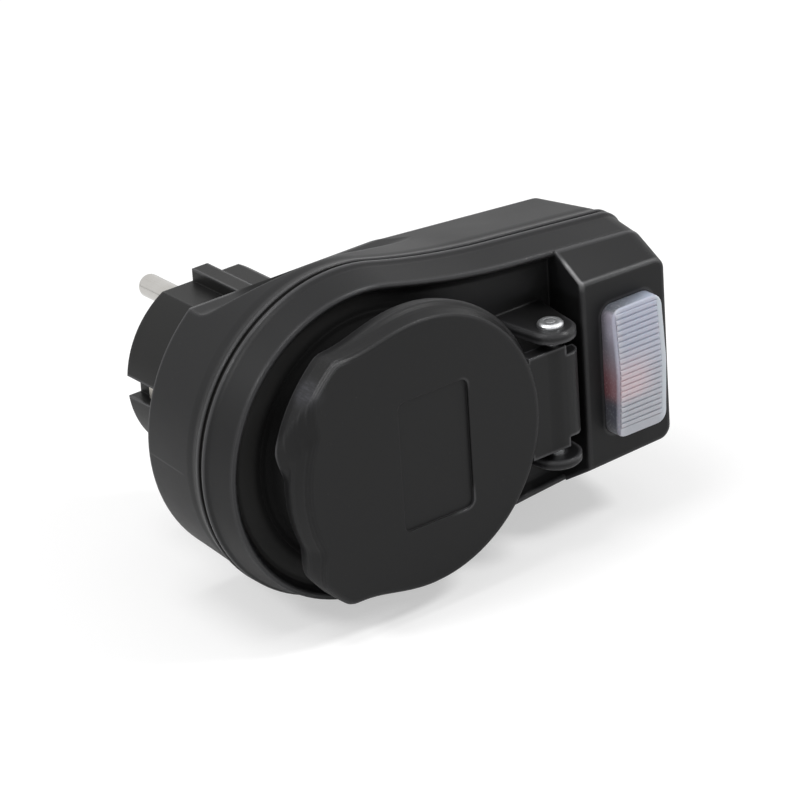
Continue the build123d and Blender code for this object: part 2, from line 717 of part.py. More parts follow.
def lid_levels():
    """The lid's side from back to face, as depth, disc radius, scoop radius and inset of the grip."""
    nose_out = LID_OUT - LID_NOSE_DROP
    edge = LID_EDGE
    return [
        (LID_BACK_OUT, LID_NOSE_R - 0.8, SCOOP_R - 0.8, HORN_ROUND),
        (LID_BACK_OUT + 0.4, LID_NOSE_R - 0.4, SCOOP_R - 0.4, 0.3 * HORN_ROUND),
        (nose_out - 0.7, LID_NOSE_R, SCOOP_R, 0.0),
        (nose_out, LID_NOSE_R, SCOOP_R, 0.0),
        (nose_out + 0.4, LID_NOSE_R - 0.25, SCOOP_R - 0.1, 0.0),
        (nose_out + 0.8, LID_NOSE_R - 0.7, SCOOP_R - 0.2, 0.0),
        (nose_out + 1.5, LID_R + 0.6, SCOOP_R - 0.5, 0.0),
        (LID_OUT - edge, LID_R + 0.2, SCOOP_R - 1.0, 0.05 * HORN_ROUND),
        (LID_OUT - 0.4 * edge, LID_R, SCOOP_R - 1.5, 0.3 * HORN_ROUND),
        (LID_OUT - 0.1 * edge, LID_R - 0.4 * edge, SCOOP_R - 2.0, 0.65 * HORN_ROUND),
        (LID_OUT, LID_R - edge, SCOOP_R - 2.5, HORN_ROUND),
    ]


def smooth_max(a, b, reach):
    """Larger of two numbers, rounded where they are close."""
    near = max(reach - abs(a - b), 0.0) / reach
    return max(a, b) + near * near * reach / 4


def lid_radius(angle, out, disc_r, scoop_r, inset):
    """The lid's radius at an angle from the grip's middle, at one depth."""
    turn = abs(angle)
    if turn > 90:
        return disc_r
    flat = (GRIP_HALF_Z - inset) / max(sin(radians(turn)), 0.1)
    lobe = -smooth_max(inset - GRIP_R, -flat, HORN_ROUND)
    radius = smooth_max(disc_r, lobe, GRIP_BLEND) if lobe > disc_r - GRIP_BLEND else disc_r
    share = (out - LID_BACK_OUT) / LID_H
    back_angle = SCOOP_BACK_ANGLE if angle > 0 else SCOOP_LOW_BACK_ANGLE
    fade_end = back_angle + (SCOOP_ANGLE - back_angle) * share
    rise = min(max((turn - fade_end + SCOOP_FADE) / SCOOP_FADE, 0.0), 1.0)
    return scoop_r + (radius - scoop_r) * rise * rise * (3 - 2 * rise)


def lid_plan(level):
    """Outline of the lid at one depth: a disc whose wide grip has a finger scoop that fades in."""
    points = []
    for i in range(LID_POINTS):
        angle = 180 - 360 * i / LID_POINTS
        radius = lid_radius(angle, *level)
        points.append((LID_X - radius * cos(radians(angle)), radius * sin(radians(angle))))
    return make_face(Spline(*points, periodic=True))


def lid():
    centre = Pos(LID_X, 0)
    body = stack([(level[0], lid_plan(level)) for level in lid_levels()])
    arm_low = LID_X + CAVITY_R - 1.0
    plate_under = HINGE_OUT + ARM_PROUD - ARM_T
    plate = [
        (arm_low, plate_under),
        (HINGE_X + ARM_PAST, plate_under),
        (HINGE_X + ARM_PAST, HINGE_OUT + ARM_PROUD),
        (arm_low, HINGE_OUT + ARM_PROUD),
    ]
    arm = side_plate(plate, ARM_HALF_Z)
    for side in (-1, 1):
        notch = [
            (HINGE_X + 1.2, HINGE_OUT - 4),
            (HINGE_X + ARM_PAST + 1, HINGE_OUT - 4),
            (HINGE_X + ARM_PAST + 1, HINGE_OUT + ARM_PROUD + 1),
            (HINGE_X + 1.2, HINGE_OUT + ARM_PROUD + 1),
        ]
        middle = side * (ARM_HALF_Z + KNUCKLE_HALF_Z) / 2
        arm -= side_plate(notch, (ARM_HALF_Z - KNUCKLE_HALF_Z) / 2, middle)
    tip = arm.edges().filter_by(Axis.Z).group_by(Axis.X)[-1].sort_by(Axis.Y)[0]
    arm = fillet(tip, min(ARM_ROUND, 0.95 * ARM_T))
    barrel = post(KNUCKLE_R, -KNUCKLE_HALF_Z, KNUCKLE_HALF_Z)
    web = side_plate(
        [
            (arm_low, LID_BACK_OUT + 1.2),
            (arm_low, plate_under + 0.1),
            (HINGE_X, plate_under + 0.1),
            (HINGE_X, HINGE_OUT - KNUCKLE_R),
        ],
        KNUCKLE_HALF_Z,
    )
    body = body + arm + barrel + web
    lift = COLLAR_R + COLLAR_ROOM
    hollow = (centre * Circle(CAVITY_R)) + Circle(lift)
    body -= slab(hollow, LID_BACK_OUT - 1, LID_CEILING_OUT)
    body -= post(RIVET_R + RIVET_FIT, -ARM_HALF_Z - 1, ARM_HALF_Z + 1)
    body -= post(SPRING_SLOT_R, -SPRING_SLOT_HALF, SPRING_SLOT_HALF)
    slot_low = HINGE_OUT - KNUCKLE_R - 1
    slot_room = [
        (HINGE_X - SPRING_ARM - 2.0, slot_low),
        (HINGE_X + SPRING_SLOT_R, slot_low),
        (HINGE_X + SPRING_SLOT_R, HINGE_OUT),
        (HINGE_X, HINGE_OUT + SPRING_SLOT_R),
        (HINGE_X - SPRING_ARM - 2.0, HINGE_OUT + SPRING_SLOT_R),
    ]
    body -= side_plate(slot_room, SPRING_SLOT_HALF)
    label = Pos(LABEL_X, LABEL_Z) * RectangleRounded(LABEL_W, LABEL_H, LABEL_ROUND)
    body -= slab(label, LID_OUT - LABEL_DEPTH, LID_OUT + 1)
    return body


def lid_seal():
    middle = (COLLAR_R + COLLAR_BORE_R) / 2
    ring = Circle(middle + SEAL_W / 2) - Circle(middle - SEAL_W / 2)
    return slab(ring, COLLAR_OUT + SEAL_GAP, LID_CEILING_OUT)


def hinge_rivet():
    body = post(RIVET_R, -EAR_OUTER_Z, EAR_OUTER_Z)
    for side in (-1, 1):
        head = post(RIVET_HEAD_R, EAR_OUTER_Z, EAR_OUTER_Z + RIVET_HEAD_H)
        head = fillet(head.faces().sort_by(Axis.Z)[-1].edges(), 0.75 * RIVET_HEAD_H)
        body += head if side > 0 else mirror(head, Plane.XY)
    return body


def two_arcs(start, start_dir, end, end_dir):
    """Two arcs that leave and arrive along the given directions and meet smoothly."""
    chord = end - start
    both = start_dir + end_dir
    a = both.dot(both) - 4
    b = -2 * chord.dot(both)
    c = chord.dot(chord)
    reach = (-b - sqrt(b * b - 4 * a * c)) / (2 * a)
    joint = ((start + start_dir * reach) + (end - end_dir * reach)) * 0.5
    first = Edge.make_tangent_arc(start, start_dir, joint)
    second = Edge.make_tangent_arc(joint, first.tangent_at(1), end)
    return [first, second]


def coil_point(angle):
    """Point and direction on the coil, the angle counted from its lower end."""
    height = COIL_PITCH * angle / (2 * pi) - COIL_PITCH * (COIL_TURNS + 0.25) / 2
    x = HINGE_X + COIL_R * cos(angle)
    out = HINGE_OUT + COIL_R * sin(angle)
    heading = Vector(-COIL_R * sin(angle), -COIL_R * cos(angle), COIL_PITCH / (2 * pi))
    return Vector(x, -out, height), heading.normalized()


def lid_spring():
    """Torsion spring: one leg down to the deck, eight and a quarter turns, one leg under the lid."""
    quarters = 4 * COIL_TURNS + 1
    stations = [coil_point(i * pi / 2) for i in range(quarters + 1)]
    start, start_dir = stations[0]
    end, end_dir = stations[-1]
    foot = start - start_dir * ((HINGE_OUT - DECK_OUT - SPRING_FOOT_GAP) / abs(start_dir.Y))
    tip = end + end_dir * SPRING_ARM
    edges = [Edge.make_line(foot, start)]
    for (p, p_dir), (q, q_dir) in zip(stations, stations[1:]):
        edges += two_arcs(p, p_dir, q, q_dir)
    edges.append(Edge.make_line(end, tip))
    path = Wire(edges)
    section = Plane(origin=foot, z_dir=start_dir) * Circle(WIRE_R)
    body = sweep(section, path=path)
    gap = coil_gap(stations)
    print("lid spring: least gap to itself", round(gap, 3), "mm")
    return body


def coil_gap(stations):
    """Least free gap between turns, measured on points along the coil."""
    steps = 24
    points = [coil_point(2 * pi * i / steps)[0] for i in range(int(steps * COIL_TURNS) + 1)]
    least = min(
        (points[i] - points[j]).length
        for i in range(len(points))
        for j in range(i + steps // 2, min(i + 2 * steps, len(points)))
    )
    return least - 2 * WIRE_R


def facet_profile(half_z, base_out, ridge_out, bumps=False):
    """Two-facet roof in (z, out), at the rocker's level position."""
    slope = tan(radians(FACET_ANGLE))
    points = [(-half_z, base_out), (half_z, base_out)]
    roof = [(half_z, ridge_out - half_z * slope)]
    if bumps:
        for i in range(RIB_COUNT):
            z = RIB_PITCH * ((RIB_COUNT - 1) / 2 - i)
            level = ridge_out - abs(z) * slope
            roof += [
                (z + RIB_W / 2, level),
                (z + RIB_W / 4, level + RIB_H),
                (z - RIB_W / 4, level + RIB_H),
                (z - RIB_W / 2, level),
            ]
    else:
        roof.append((0, ridge_out))
    roof.append((-half_z, ridge_out - half_z * slope))
    return points + roof


def tilted(shape, angle=REST_TILT, out=PIVOT_OUT):
    """Turned about the switch's cross axis, its lower end pressed in."""
    return shape.rotate(Axis((BOOT_X, -out, 0), (1, 0, 0)), angle)


def boot_core(inset, bumps):
    ridge = FACE_OUT + BOOT_PROUD - inset
    half = BOOT_H
    roof = across(facet_profile(half, BOOT_SEAT_OUT - 8, ridge), BOOT_W, BOOT_X)
    roof = tilted(roof)
    plan = Pos(BOOT_X, 0) * RectangleRounded(
        BOOT_W - 2 * inset, BOOT_H - 2 * inset, max(BOOT_ROUND - inset, 0.5)
    )
    body = slab(plan, SWITCH_TOP_OUT, ridge + 5) & roof
    if bumps:
        top = body.faces().sort_by(Axis.Y)[:2]
        rims = [e for f in top for e in f.edges() if abs(e.center().Z) > 1 or abs(e.center().X - BOOT_X) > 4]
        body = chamfer([e for e in rims if not is_ridge(e)], BOOT_EDGE)
        ribs = across(facet_profile(BOOT_H / 2 - 1.4, BOOT_SEAT_OUT, ridge - 0.01, True), RIB_LEN / 2, BOOT_X)
        body += tilted(ribs)
    return body


def is_ridge(edge):
    """True for the edge between the boot's two facets."""
    return edge.bounding_box().size.X > 2 and abs(edge.center().Z) < 2


def switch_boot():
    flange_plan = Pos(BOOT_X, 0) * RectangleRounded(
        BOOT_W + 2 * BOOT_FLANGE, BOOT_H + 2 * BOOT_FLANGE, BOOT_ROUND
    )
    body = boot_core(0.0, True) + slab(flange_plan, SWITCH_TOP_OUT, BOOT_SEAT_OUT)
    return body - boot_core(BOOT_T, False)


def switch_body():
    plan = Pos(BOOT_X, 0) * Rectangle(SWITCH_W, SWITCH_H)
    body = slab(plan, SWITCH_BACK_OUT, SWITCH_TOP_OUT)
    room = Pos(BOOT_X, 0) * Rectangle(SWITCH_W - 2 * SWITCH_WALL, SWITCH_H - 2 * SWITCH_WALL)
    body -= slab(room, SWITCH_FLOOR_OUT, SWITCH_TOP_OUT + 1)
    pivot = Plane(origin=(BOOT_X - SWITCH_W, -PIVOT_OUT, 0), z_dir=(1, 0, 0))
    body -= extrude(pivot * Circle(PIVOT_R + PIVOT_FIT), amount=2 * SWITCH_W)
    for i in (-1, 0, 1):
        hole = Pos(BOOT_X, i * TAB_PITCH) * Rectangle(TAB_W + 0.1, TAB_T + 0.1)
        body -= slab(hole, SWITCH_BACK_OUT - 1, SWITCH_FLOOR_OUT + 1)
    for side in (-1, 1):
        ledge = Pos(BOOT_X + side * (SWITCH_W / 2 - SWITCH_WALL - 0.9), LAMP_Z) * Rectangle(1.8, 2 * LAMP_R)
        body += slab(ledge, SWITCH_FLOOR_OUT, LAMP_OUT) - lamp_bar(LAMP_R + BORE_GAP, LAMP_LEN + 4)
    return body


def lamp_bar(radius, length):
    start = Plane(origin=(BOOT_X - length / 2, -LAMP_OUT, LAMP_Z), z_dir=(1, 0, 0))
    return extrude(start * Circle(radius), amount=length)


def neon_lamp():
    glass = lamp_bar(LAMP_R, LAMP_LEN)
    return fillet(glass.faces().sort_by(Axis.X)[-1].edges(), LAMP_R * 0.6)


def switch_terminals():
    arm_drop = LEVER_HALF_Z * sin(radians(LEVER_TILT))
    under = LEVER_OUT - LEVER_T / 2 - LEVER_GAP
    tabs = []
    for i in (-1, 0, 1):
        top = under if i == 0 else under - arm_drop
        tab = slab(Pos(BOOT_X, i * TAB_PITCH) * Rectangle(TAB_W, TAB_T), TAB_END_OUT, top)
        tabs.append(tab - disc(0.7, 0, 1, BOOT_X, 0))
    return Compound(children=tabs)


def rocker():
    ridge = FACE_OUT + BOOT_PROUD - BOOT_T - ROCKER_TOP_GAP
    body = across(facet_profile(ROCKER_H / 2, ROCKER_SKIRT_OUT, ridge), ROCKER_W / 2, BOOT_X)
    inner = across(
        facet_profile(ROCKER_H / 2 - ROCKER_T, ROCKER_SKIRT_OUT - 1, ridge - ROCKER_T),
        ROCKER_W / 2 - ROCKER_T,
        BOOT_X,
    )
    body -= inner
    body += disc(PLUNGER_BOSS_R, plunger_top_out() - 3.2, ridge - ROCKER_T / 2, BOOT_X)
    body -= disc(PLUNGER_R + PLUNGER_FIT, plunger_top_out() - 4, plunger_top_out(), BOOT_X)
    reach = SWITCH_W / 2 - SWITCH_WALL + PIVOT_LEN
    for side in (-1, 1):
        start = Plane(origin=(BOOT_X + side * (ROCKER_W / 2 - 1), -PIVOT_OUT, 0), z_dir=(side, 0, 0))
        body += extrude(start * Circle(PIVOT_R), amount=reach - ROCKER_W / 2 + 1)
    return tilted(body)


def plunger_top_out():
    return PIVOT_OUT + 1.5


def rocker_plunger():
    tip = LEVER_OUT + LEVER_T / 2 + PLUNGER_GAP
    body = disc(PLUNGER_R, tip, plunger_top_out(), BOOT_X)
    body = fillet(body.faces().sort_by(Axis.Y)[-1].edges(), 0.6 * PLUNGER_R)
    return tilted(body)


def contact_lever():
    plan = Pos(BOOT_X, 0) * Rectangle(LEVER_W, 2 * LEVER_HALF_Z)
    body = slab(plan, LEVER_OUT - LEVER_T / 2, LEVER_OUT + LEVER_T / 2)
    return tilted(body, -LEVER_TILT, LEVER_OUT)


def lead(points, bends):
    """Insulated lead: straight runs joined by tangent arcs."""
    places = [Vector(x, -out, z) for x, out, z in points]
    path = FilletPolyline(*places, radius=bends)
    start_dir = (places[1] - places[0]).normalized()
    section = Plane(origin=places[0], z_dir=start_dir) * Circle(LEAD_R)
    body = sweep(section, path=path)
    ideal = pi * LEAD_R ** 2 * path.length
    print("lead volume against section times length", round(body.volume / ideal, 4))
    return body


def lead_to_tab(start, tab, middle_x, middle_z):
    """Lead from a contact's side, along the back, up to the end of a switch tab."""
    x0, out0, z0 = start
    tab_z = tab * TAB_PITCH
    points = [
        start,
        (x0 + LEAD_START, out0, z0),
        (middle_x, LEAD_FLOOR_OUT, middle_z),
        (BOOT_X - LEAD_RUN_IN, LEAD_FLOOR_OUT, tab_z),
        (BOOT_X, LEAD_FLOOR_OUT, tab_z),
        (BOOT_X, TAB_END_OUT, tab_z),
    ]
    return lead(points, [LEAD_WIDE_BEND, LEAD_WIDE_BEND, LEAD_WIDE_BEND, LEAD_BEND])


def live_wire_in():
    return lead_to_tab((LUG_W / 2, LUG_OUT - LEAD_R - 0.1, lug_centre_z()), 1, LEAD_MIDDLE_X, LEAD_MIDDLE_Z)


def live_wire_out():
    return lead_to_tab((SLEEVE_OUTER_R, CONTACT_LEAD_OUT, PIN_Z), 0, RETURN_MIDDLE_X, RETURN_MIDDLE_Z)


def lamp_wire():
    return lead_to_tab((SLEEVE_OUTER_R, CONTACT_LEAD_OUT, -PIN_Z), -1, LEAD_MIDDLE_X, LAMP_MIDDLE_Z)


parts = {
    "rear_shell": rear_shell(),
    "front_shell": front_shell(),
    "shell_gasket": shell_gasket(),
    "plug_insert": plug_insert(),
    "live_pin": contact_pin(PIN_Z),
    "neutral_pin": contact_pin(-PIN_Z),
    "live_lug": live_lug(),
    "live_contact": contact_sleeve(PIN_Z, False),
    "neutral_contact": contact_sleeve(-PIN_Z, True),
    "contact_carrier": contact_carrier(),
    "socket_insert": socket_insert(),
    "earth_clip_left": earth_clip(-1),
    "earth_clip_right": earth_clip(1),
    "earth_link": earth_link(),
    "centre_screw": centre_screw(),
    "housing_screws": housing_screws(),
    "lid": lid(),
    "lid_seal": lid_seal(),
    "hinge_rivet": hinge_rivet(),
    "lid_spring": lid_spring(),
    "switch_boot": switch_boot(),
    "switch_body": switch_body(),
    "switch_terminals": switch_terminals(),
    "rocker": rocker(),
    "rocker_plunger": rocker_plunger(),
    "contact_lever": contact_lever(),
    "neon_lamp": neon_lamp(),
    "live_wire_in": live_wire_in(),
    "live_wire_out": live_wire_out(),
    "lamp_wire": lamp_wire(),
}

os.makedirs("parts", exist_ok=True)
for name, shape in parts.items():
    export_step(shape, f"parts/{name}.step")
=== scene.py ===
import bpy
import json
from math import cos, radians, sin, tan
from mathutils import Matrix, Vector


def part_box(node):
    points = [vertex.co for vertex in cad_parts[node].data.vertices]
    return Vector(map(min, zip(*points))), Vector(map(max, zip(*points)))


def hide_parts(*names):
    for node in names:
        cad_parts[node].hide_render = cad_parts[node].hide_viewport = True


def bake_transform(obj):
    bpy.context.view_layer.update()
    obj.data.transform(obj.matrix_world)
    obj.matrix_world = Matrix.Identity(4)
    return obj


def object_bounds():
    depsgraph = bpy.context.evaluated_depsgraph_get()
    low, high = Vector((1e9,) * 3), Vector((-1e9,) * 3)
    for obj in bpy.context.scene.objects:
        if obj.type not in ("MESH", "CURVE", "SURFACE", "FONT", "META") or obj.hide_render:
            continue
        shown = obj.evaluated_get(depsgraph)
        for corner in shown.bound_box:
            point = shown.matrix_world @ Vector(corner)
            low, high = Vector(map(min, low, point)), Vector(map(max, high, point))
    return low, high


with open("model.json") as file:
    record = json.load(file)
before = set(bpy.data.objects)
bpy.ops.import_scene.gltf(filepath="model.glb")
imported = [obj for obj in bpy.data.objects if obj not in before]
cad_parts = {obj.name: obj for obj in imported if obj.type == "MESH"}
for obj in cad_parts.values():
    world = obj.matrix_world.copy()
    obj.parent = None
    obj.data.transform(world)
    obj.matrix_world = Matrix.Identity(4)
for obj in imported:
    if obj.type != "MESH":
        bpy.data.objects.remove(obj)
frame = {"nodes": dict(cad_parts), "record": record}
cad_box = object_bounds()

# The adapter is seen from the front and a little above, with the plug turned away to the left.
# A long lens from about a metre keeps the perspective as slight as the photograph's.
CAMERA_AZIMUTH = radians(-36.54)
CAMERA_ELEVATION = radians(25.34)
CAMERA_ROLL = radians(-3.76)
CAMERA_DEPTH = 1.04449
CAMERA_CLIP = 0.05
ORIGIN_IN_IMAGE = (284.28, 394.82)
IMAGE_SIZE = 800
FOCAL_PIXELS = 5410.5
SENSOR_WIDTH = 36.0

backward = Vector((
    sin(CAMERA_AZIMUTH) * cos(CAMERA_ELEVATION),
    -cos(CAMERA_AZIMUTH) * cos(CAMERA_ELEVATION),
    sin(CAMERA_ELEVATION),
))
level_right = Vector((cos(CAMERA_AZIMUTH), sin(CAMERA_AZIMUTH), 0.0))
level_up = backward.cross(level_right)
image_right = level_right * cos(CAMERA_ROLL) + level_up * sin(CAMERA_ROLL)
image_up = backward.cross(image_right)
side_step = (ORIGIN_IN_IMAGE[0] - IMAGE_SIZE / 2) / FOCAL_PIXELS * CAMERA_DEPTH
rise = (IMAGE_SIZE / 2 - ORIGIN_IN_IMAGE[1]) / FOCAL_PIXELS * CAMERA_DEPTH
lens = bpy.data.cameras.new("photo_camera")
lens.sensor_width = SENSOR_WIDTH
lens.lens = FOCAL_PIXELS / IMAGE_SIZE * SENSOR_WIDTH
lens.clip_start = CAMERA_CLIP
camera = bpy.data.objects.new("photo_camera", lens)
camera.matrix_world = Matrix((image_right, image_up, backward)).transposed().to_4x4()
camera.location = backward * CAMERA_DEPTH - image_right * side_step - image_up * rise
bpy.context.collection.objects.link(camera)
bpy.context.scene.camera = camera

# A plain pale table under three soft lamps, in a white room. Only the camera, mirror-like
# and clear surfaces see the room at full white; the part itself is lit at a plain level.
TABLE_SIZE = 4.0
TABLE_GAP = 0.0002
TABLE_COLOUR = (0.85, 0.85, 0.85, 1)
TABLE_ROUGHNESS = 0.9
TABLE_SEEN = 0.35
TABLE_GLOW = 1.4
ROOM_COLOUR = (1, 1, 1, 1)
ROOM_LIGHT = 0.45
ROOM_SEEN = 1.0
LAMPS = {
    "overhead": {"place": (-0.20, 0.0, 0.74), "size": 0.35, "power": 1.9},
    "front_right": {"place": (0.45, -0.36, 0.60), "size": 0.2, "power": 3.0},
    "back_left": {"place": (-0.54, 0.105, 0.50), "size": 0.2, "power": 1.8},
}


class Signal:
    """One value, colour or direction on its way between shader nodes."""

    def __init__(self, web, socket):
        self.web = web
        self.socket = socket

    def join(self, operation, first, second):
        return self.web.node("ShaderNodeMath", {"operation": operation}, {0: first, 1: second})

    def __add__(self, other):
        return self.join("ADD", self, other)

    def __sub__(self, other):
        return self.join("SUBTRACT", self, other)

    def __rsub__(self, other):
        return self.join("SUBTRACT", other, self)

    def __mul__(self, other):
        return self.join("MULTIPLY", self, other)

    def __abs__(self):
        return self.join("ABSOLUTE", self, 0.0)

    __radd__ = __add__
    __rmul__ = __mul__


class Web:
    """The nodes of one material, or of the room's light, round the shader that they feed."""

    def __init__(self, owner, shader):
        owner.use_nodes = True
        self.owner = owner
        self.tree = owner.node_tree
        self.shader = self.tree.nodes[shader]
        self.fed = {}

    def feed(self, made, values):
        for key, value in values.items():
            if isinstance(value, Signal):
                self.tree.links.new(value.socket, made.inputs[key])
            else:
                made.inputs[key].default_value = value

    def set(self, values):
        """Feed the shader, and keep what it is fed, so that a later layer can go on top."""
        self.feed(self.shader, values)
        self.fed.update(values)

    def node(self, kind, settings, values, output=0):
        made = self.tree.nodes.new(kind)
        for key, value in settings.items():
            setattr(made, key, value)
        self.feed(made, values)
        return Signal(self, made.outputs[output])

    def ray(self, kind):
        return self.node("ShaderNodeLightPath", {}, {}, kind)


bpy.ops.object.select_all(action="DESELECT")
bpy.ops.mesh.primitive_plane_add(size=TABLE_SIZE, location=(0, 0, cad_box[0][2] - TABLE_GAP))
table = bpy.context.object
table.name = "table"
table_top = Web(bpy.data.materials.new("pale_table"), "Principled BSDF")
table_top.set({"Base Color": TABLE_COLOUR, "Roughness": TABLE_ROUGHNESS})
table_seen = table_top.node("ShaderNodeMixShader", {}, {
    0: table_top.ray("Is Camera Ray") * TABLE_SEEN,
    1: Signal(table_top, table_top.shader.outputs[0]),
    2: table_top.node("ShaderNodeEmission", {}, {"Strength": TABLE_GLOW}),
})
table_top.feed(table_top.tree.nodes["Material Output"], {0: table_seen})
table.data.materials.append(table_top.owner)

room = Web(bpy.data.worlds.new("room"), "Background")
room_seen = room.ray("Is Camera Ray") + room.ray("Is Glossy Ray") + room.ray("Is Transmission Ray")
room.set({"Color": ROOM_COLOUR, "Strength": room.node("ShaderNodeMapRange", {}, {
    "Value": room_seen, "To Min": ROOM_LIGHT, "To Max": ROOM_SEEN})})
bpy.context.scene.world = room.owner
for name, lamp in LAMPS.items():
    light = bpy.data.lights.new(name, "AREA")
    light.shape = "DISK"
    light.size = lamp["size"]
    light.energy = lamp["power"]
    holder = bpy.data.objects.new(name, light)
    holder.location = lamp["place"]
    holder.rotation_euler = (-Vector(lamp["place"])).to_track_quat("-Z", "Y").to_euler()
    bpy.context.collection.objects.link(holder)
bpy.context.scene.view_settings.view_transform = "Standard"

# The two halves of the housing. They are injection moulded in black plastic with a fine matt
# skin, and four screws from the back pull them together. Their edges are painted paler and
# glossier, partly as handling wear and partly as painted highlight. The deck left of the lid
# is painted paler as fill light in its shade. Painted shade darkens the housing under the lid
# and in the hinge bay, and painted highlights lie on the box's top edges and the mould line.
MOULDED_SPECULAR = 0.22
MOULDED_GRAIN_DEPTH = 0.000012
FLOW = {"size": 0.018, "detail": 3.0}
FLOW_SHARE = 0.7
FLOW_ROUGHNESS = 0.16
SKIN_ROUGHNESS = 0.14
# Outer edges are painted paler and glossier, partly as handling wear and partly as painted highlight.
EDGE_REACH = 0.0004
EDGE_SPREAD = 0.7
EDGE_SHARE = 0.8
EDGE_SAMPLES = 6
EDGE_SHADE = (0.97, 0.72)
EDGE_ROUGHNESS = -0.26
EDGE_WEAR_AND_HIGHLIGHT = (0.07, 0.07, 0.073, 1)
SPECKS = {"size": 0.00035, "start": 0.74, "end": 0.86, "detail": 1.0}
SPECK_PATCHES = {"size": 0.009, "start": 0.42, "end": 0.7}
DUST = (0.16, 0.155, 0.15, 1)
DUST_SHARE = 0.35
SOCKET_LINE = {"point": (0, 0, 0), "across": (1, 0, 1)}
# Painted shade: the housing is painted darker under the lid, within a radius of the socket's axis.
UNDER_LID_BORDER = 0.002
UNDER_LID_R = 0.0256
UNDER_LID_ROUGHNESS = 0.4
PAINTED_SHADE = (0.0022, 0.0022, 0.0022, 1)
# Painted highlight: a pale tone along the switch box's top edges and on the lid's face edge by the grip.
PAINTED_HIGHLIGHT = (0.26, 0.26, 0.265, 1)
BOX_HIGHLIGHT_REACH = 0.0008
BOX_HIGHLIGHT_ZONE = (("Y", -0.0295, -0.0320), ("X", 0.0445, 0.0455), ("Z", 0.0178, 0.0192))
# Painted fill light: the deck left of the lid is painted paler, lifting its shade.
DECK = (("Y", -0.0278, -0.0274), ("X", 0.012, -0.002))
DECK_FACING = (-0.6, -0.9)
DECK_FILL_LIGHT = (0.019, 0.0188, 0.0185, 1)
DECK_ROUGHNESS = 0.1
# Where painted shade darkens the hinge bay behind the ears.
HINGE_SHADE_ZONE = (
    ("X", 0.032, 0.038),
    ("X", 0.0464, 0.0457),
    ("Y", -0.0362, -0.0342),
    ("Z", 0.0175, 0.0160),
    ("Z", -0.0175, -0.0160),
)
HINGE_SHADE_SHARE = 0.8
# A painted highlight: a thin paler line along the mould line on the rear shell's left wall.
MOULD_LINE = (
    ("X", -0.020, -0.026),
    ("Y", -0.0135, -0.0115),
    ("Z", -0.00070, -0.00082),
    ("Z", -0.00110, -0.00098),
)
MOULD_LINE_HIGHLIGHT_SHARE = 0.4
LIP_HOLLOW = (("Y", -0.0168, -0.0142), ("Y", -0.0170, -0.0192))
LIP_HOLLOW_DEPTH = 0.00022
HOUSING_BLACK = {
    "dark": (0.0052, 0.0052, 0.0056, 1),
    "pale": (0.0098, 0.0098, 0.0104, 1),
    "roughness": 0.46,
    "grain": {"size": 0.00022, "detail": 3.0, "roughness": 0.65},
    "rounding": 0.0007,
    "edge_tint_beyond": 0.0258,
}


class Finish(Web):
    """A procedural surface. Sizes and places are in metres, on the piece itself."""

    def __init__(self, name, plain):
        super().__init__(bpy.data.materials.new(name), "Principled BSDF")
        self.place = self.node("ShaderNodeTexCoord", {}, {}, "Object")
        self.set(plain)

    def cloud(self, size, detail=2.0, roughness=0.5):
        """Noise whose lumps have the given size, one number or one for each axis."""
        spread = size if isinstance(size, tuple) else (size, size, size)
        scaled = self.node("ShaderNodeMapping", {}, {
            "Vector": self.place, "Scale": tuple(1 / step for step in spread)})
        return self.node("ShaderNodeTexNoise", {}, {
            "Vector": scaled, "Scale": 1.0, "Detail": detail, "Roughness": roughness})

    def fade(self, value, start, end, low=0.0, high=1.0):
        """Smooth step from low to high as a value goes from start to end."""
        return self.node("ShaderNodeMapRange", {"interpolation_type": "SMOOTHSTEP"}, {
            "Value": value, "From Min": start, "From Max": end, "To Min": low, "To Max": high})

    def patches(self, size, start, end, detail=2.0):
        """1 in scattered patches, 0 between them."""
        return self.fade(self.cloud(size, detail), start, end)

    def axis(self, name):
        return self.node("ShaderNodeSeparateXYZ", {}, {0: self.place}, name)

    def zone(self, *limits):
        """1 in one region, 0 outside it. A limit is an axis and where along it 0 turns to 1."""
        inside = 1.0
        for name, start, end in limits:
            inside = inside * self.fade(self.axis(name), start, end)
        return inside

    def vector(self, operation, first, second, output=0):
        return self.node("ShaderNodeVectorMath", {"operation": operation}, {0: first, 1: second}, output)

    def away_from(self, point, across):
        """Distance from a line through a point. Across is 1 on the two axes square to it."""
        offset = self.vector("SUBTRACT", self.place, point)
        return self.vector("DISTANCE", self.vector("MULTIPLY", offset, across), (0, 0, 0), "Value")

    def near(self, spot, outer, inner):
        """1 round a spot, 0 beyond the outer distance."""
        return self.fade(self.vector("DISTANCE", self.place, spot, "Value"), outer, inner)

    def tint(self, mask, first, second):
        """First colour where the mask is 0, second where it is 1."""
        return self.node("ShaderNodeMix", {"data_type": "RGBA"}, {0: mask, 6: first, 7: second}, 2)

    def edges(self, reach):
        """1 along outer edges, 0 on open faces and in corners."""
        inner = self.node("ShaderNodeAmbientOcclusion", {
            "inside": True, "only_local": True, "samples": EDGE_SAMPLES}, {"Distance": reach}, "AO")
        return self.fade(inner, *EDGE_SHADE)

    def relief(self, height, depth, below=None):
        """Raise the surface by up to a depth, on top of another relief or a rounded edge."""
        values = {"Height": height, "Distance": depth, "Strength": 1.0}
        if below:
            values["Normal"] = below
        return self.node("ShaderNodeBump", {}, values)


def dress(finish, *names):
    """Give the frame's own pieces a finish."""
    for name in names:
        for socket in frame["nodes"][name].material_slots:
            socket.material = finish.owner


def beyond(finish, radius):
    """0 near the socket's axis, 1 beyond a radius round it."""
    return finish.fade(finish.away_from(**SOCKET_LINE), radius, radius + UNDER_LID_BORDER)


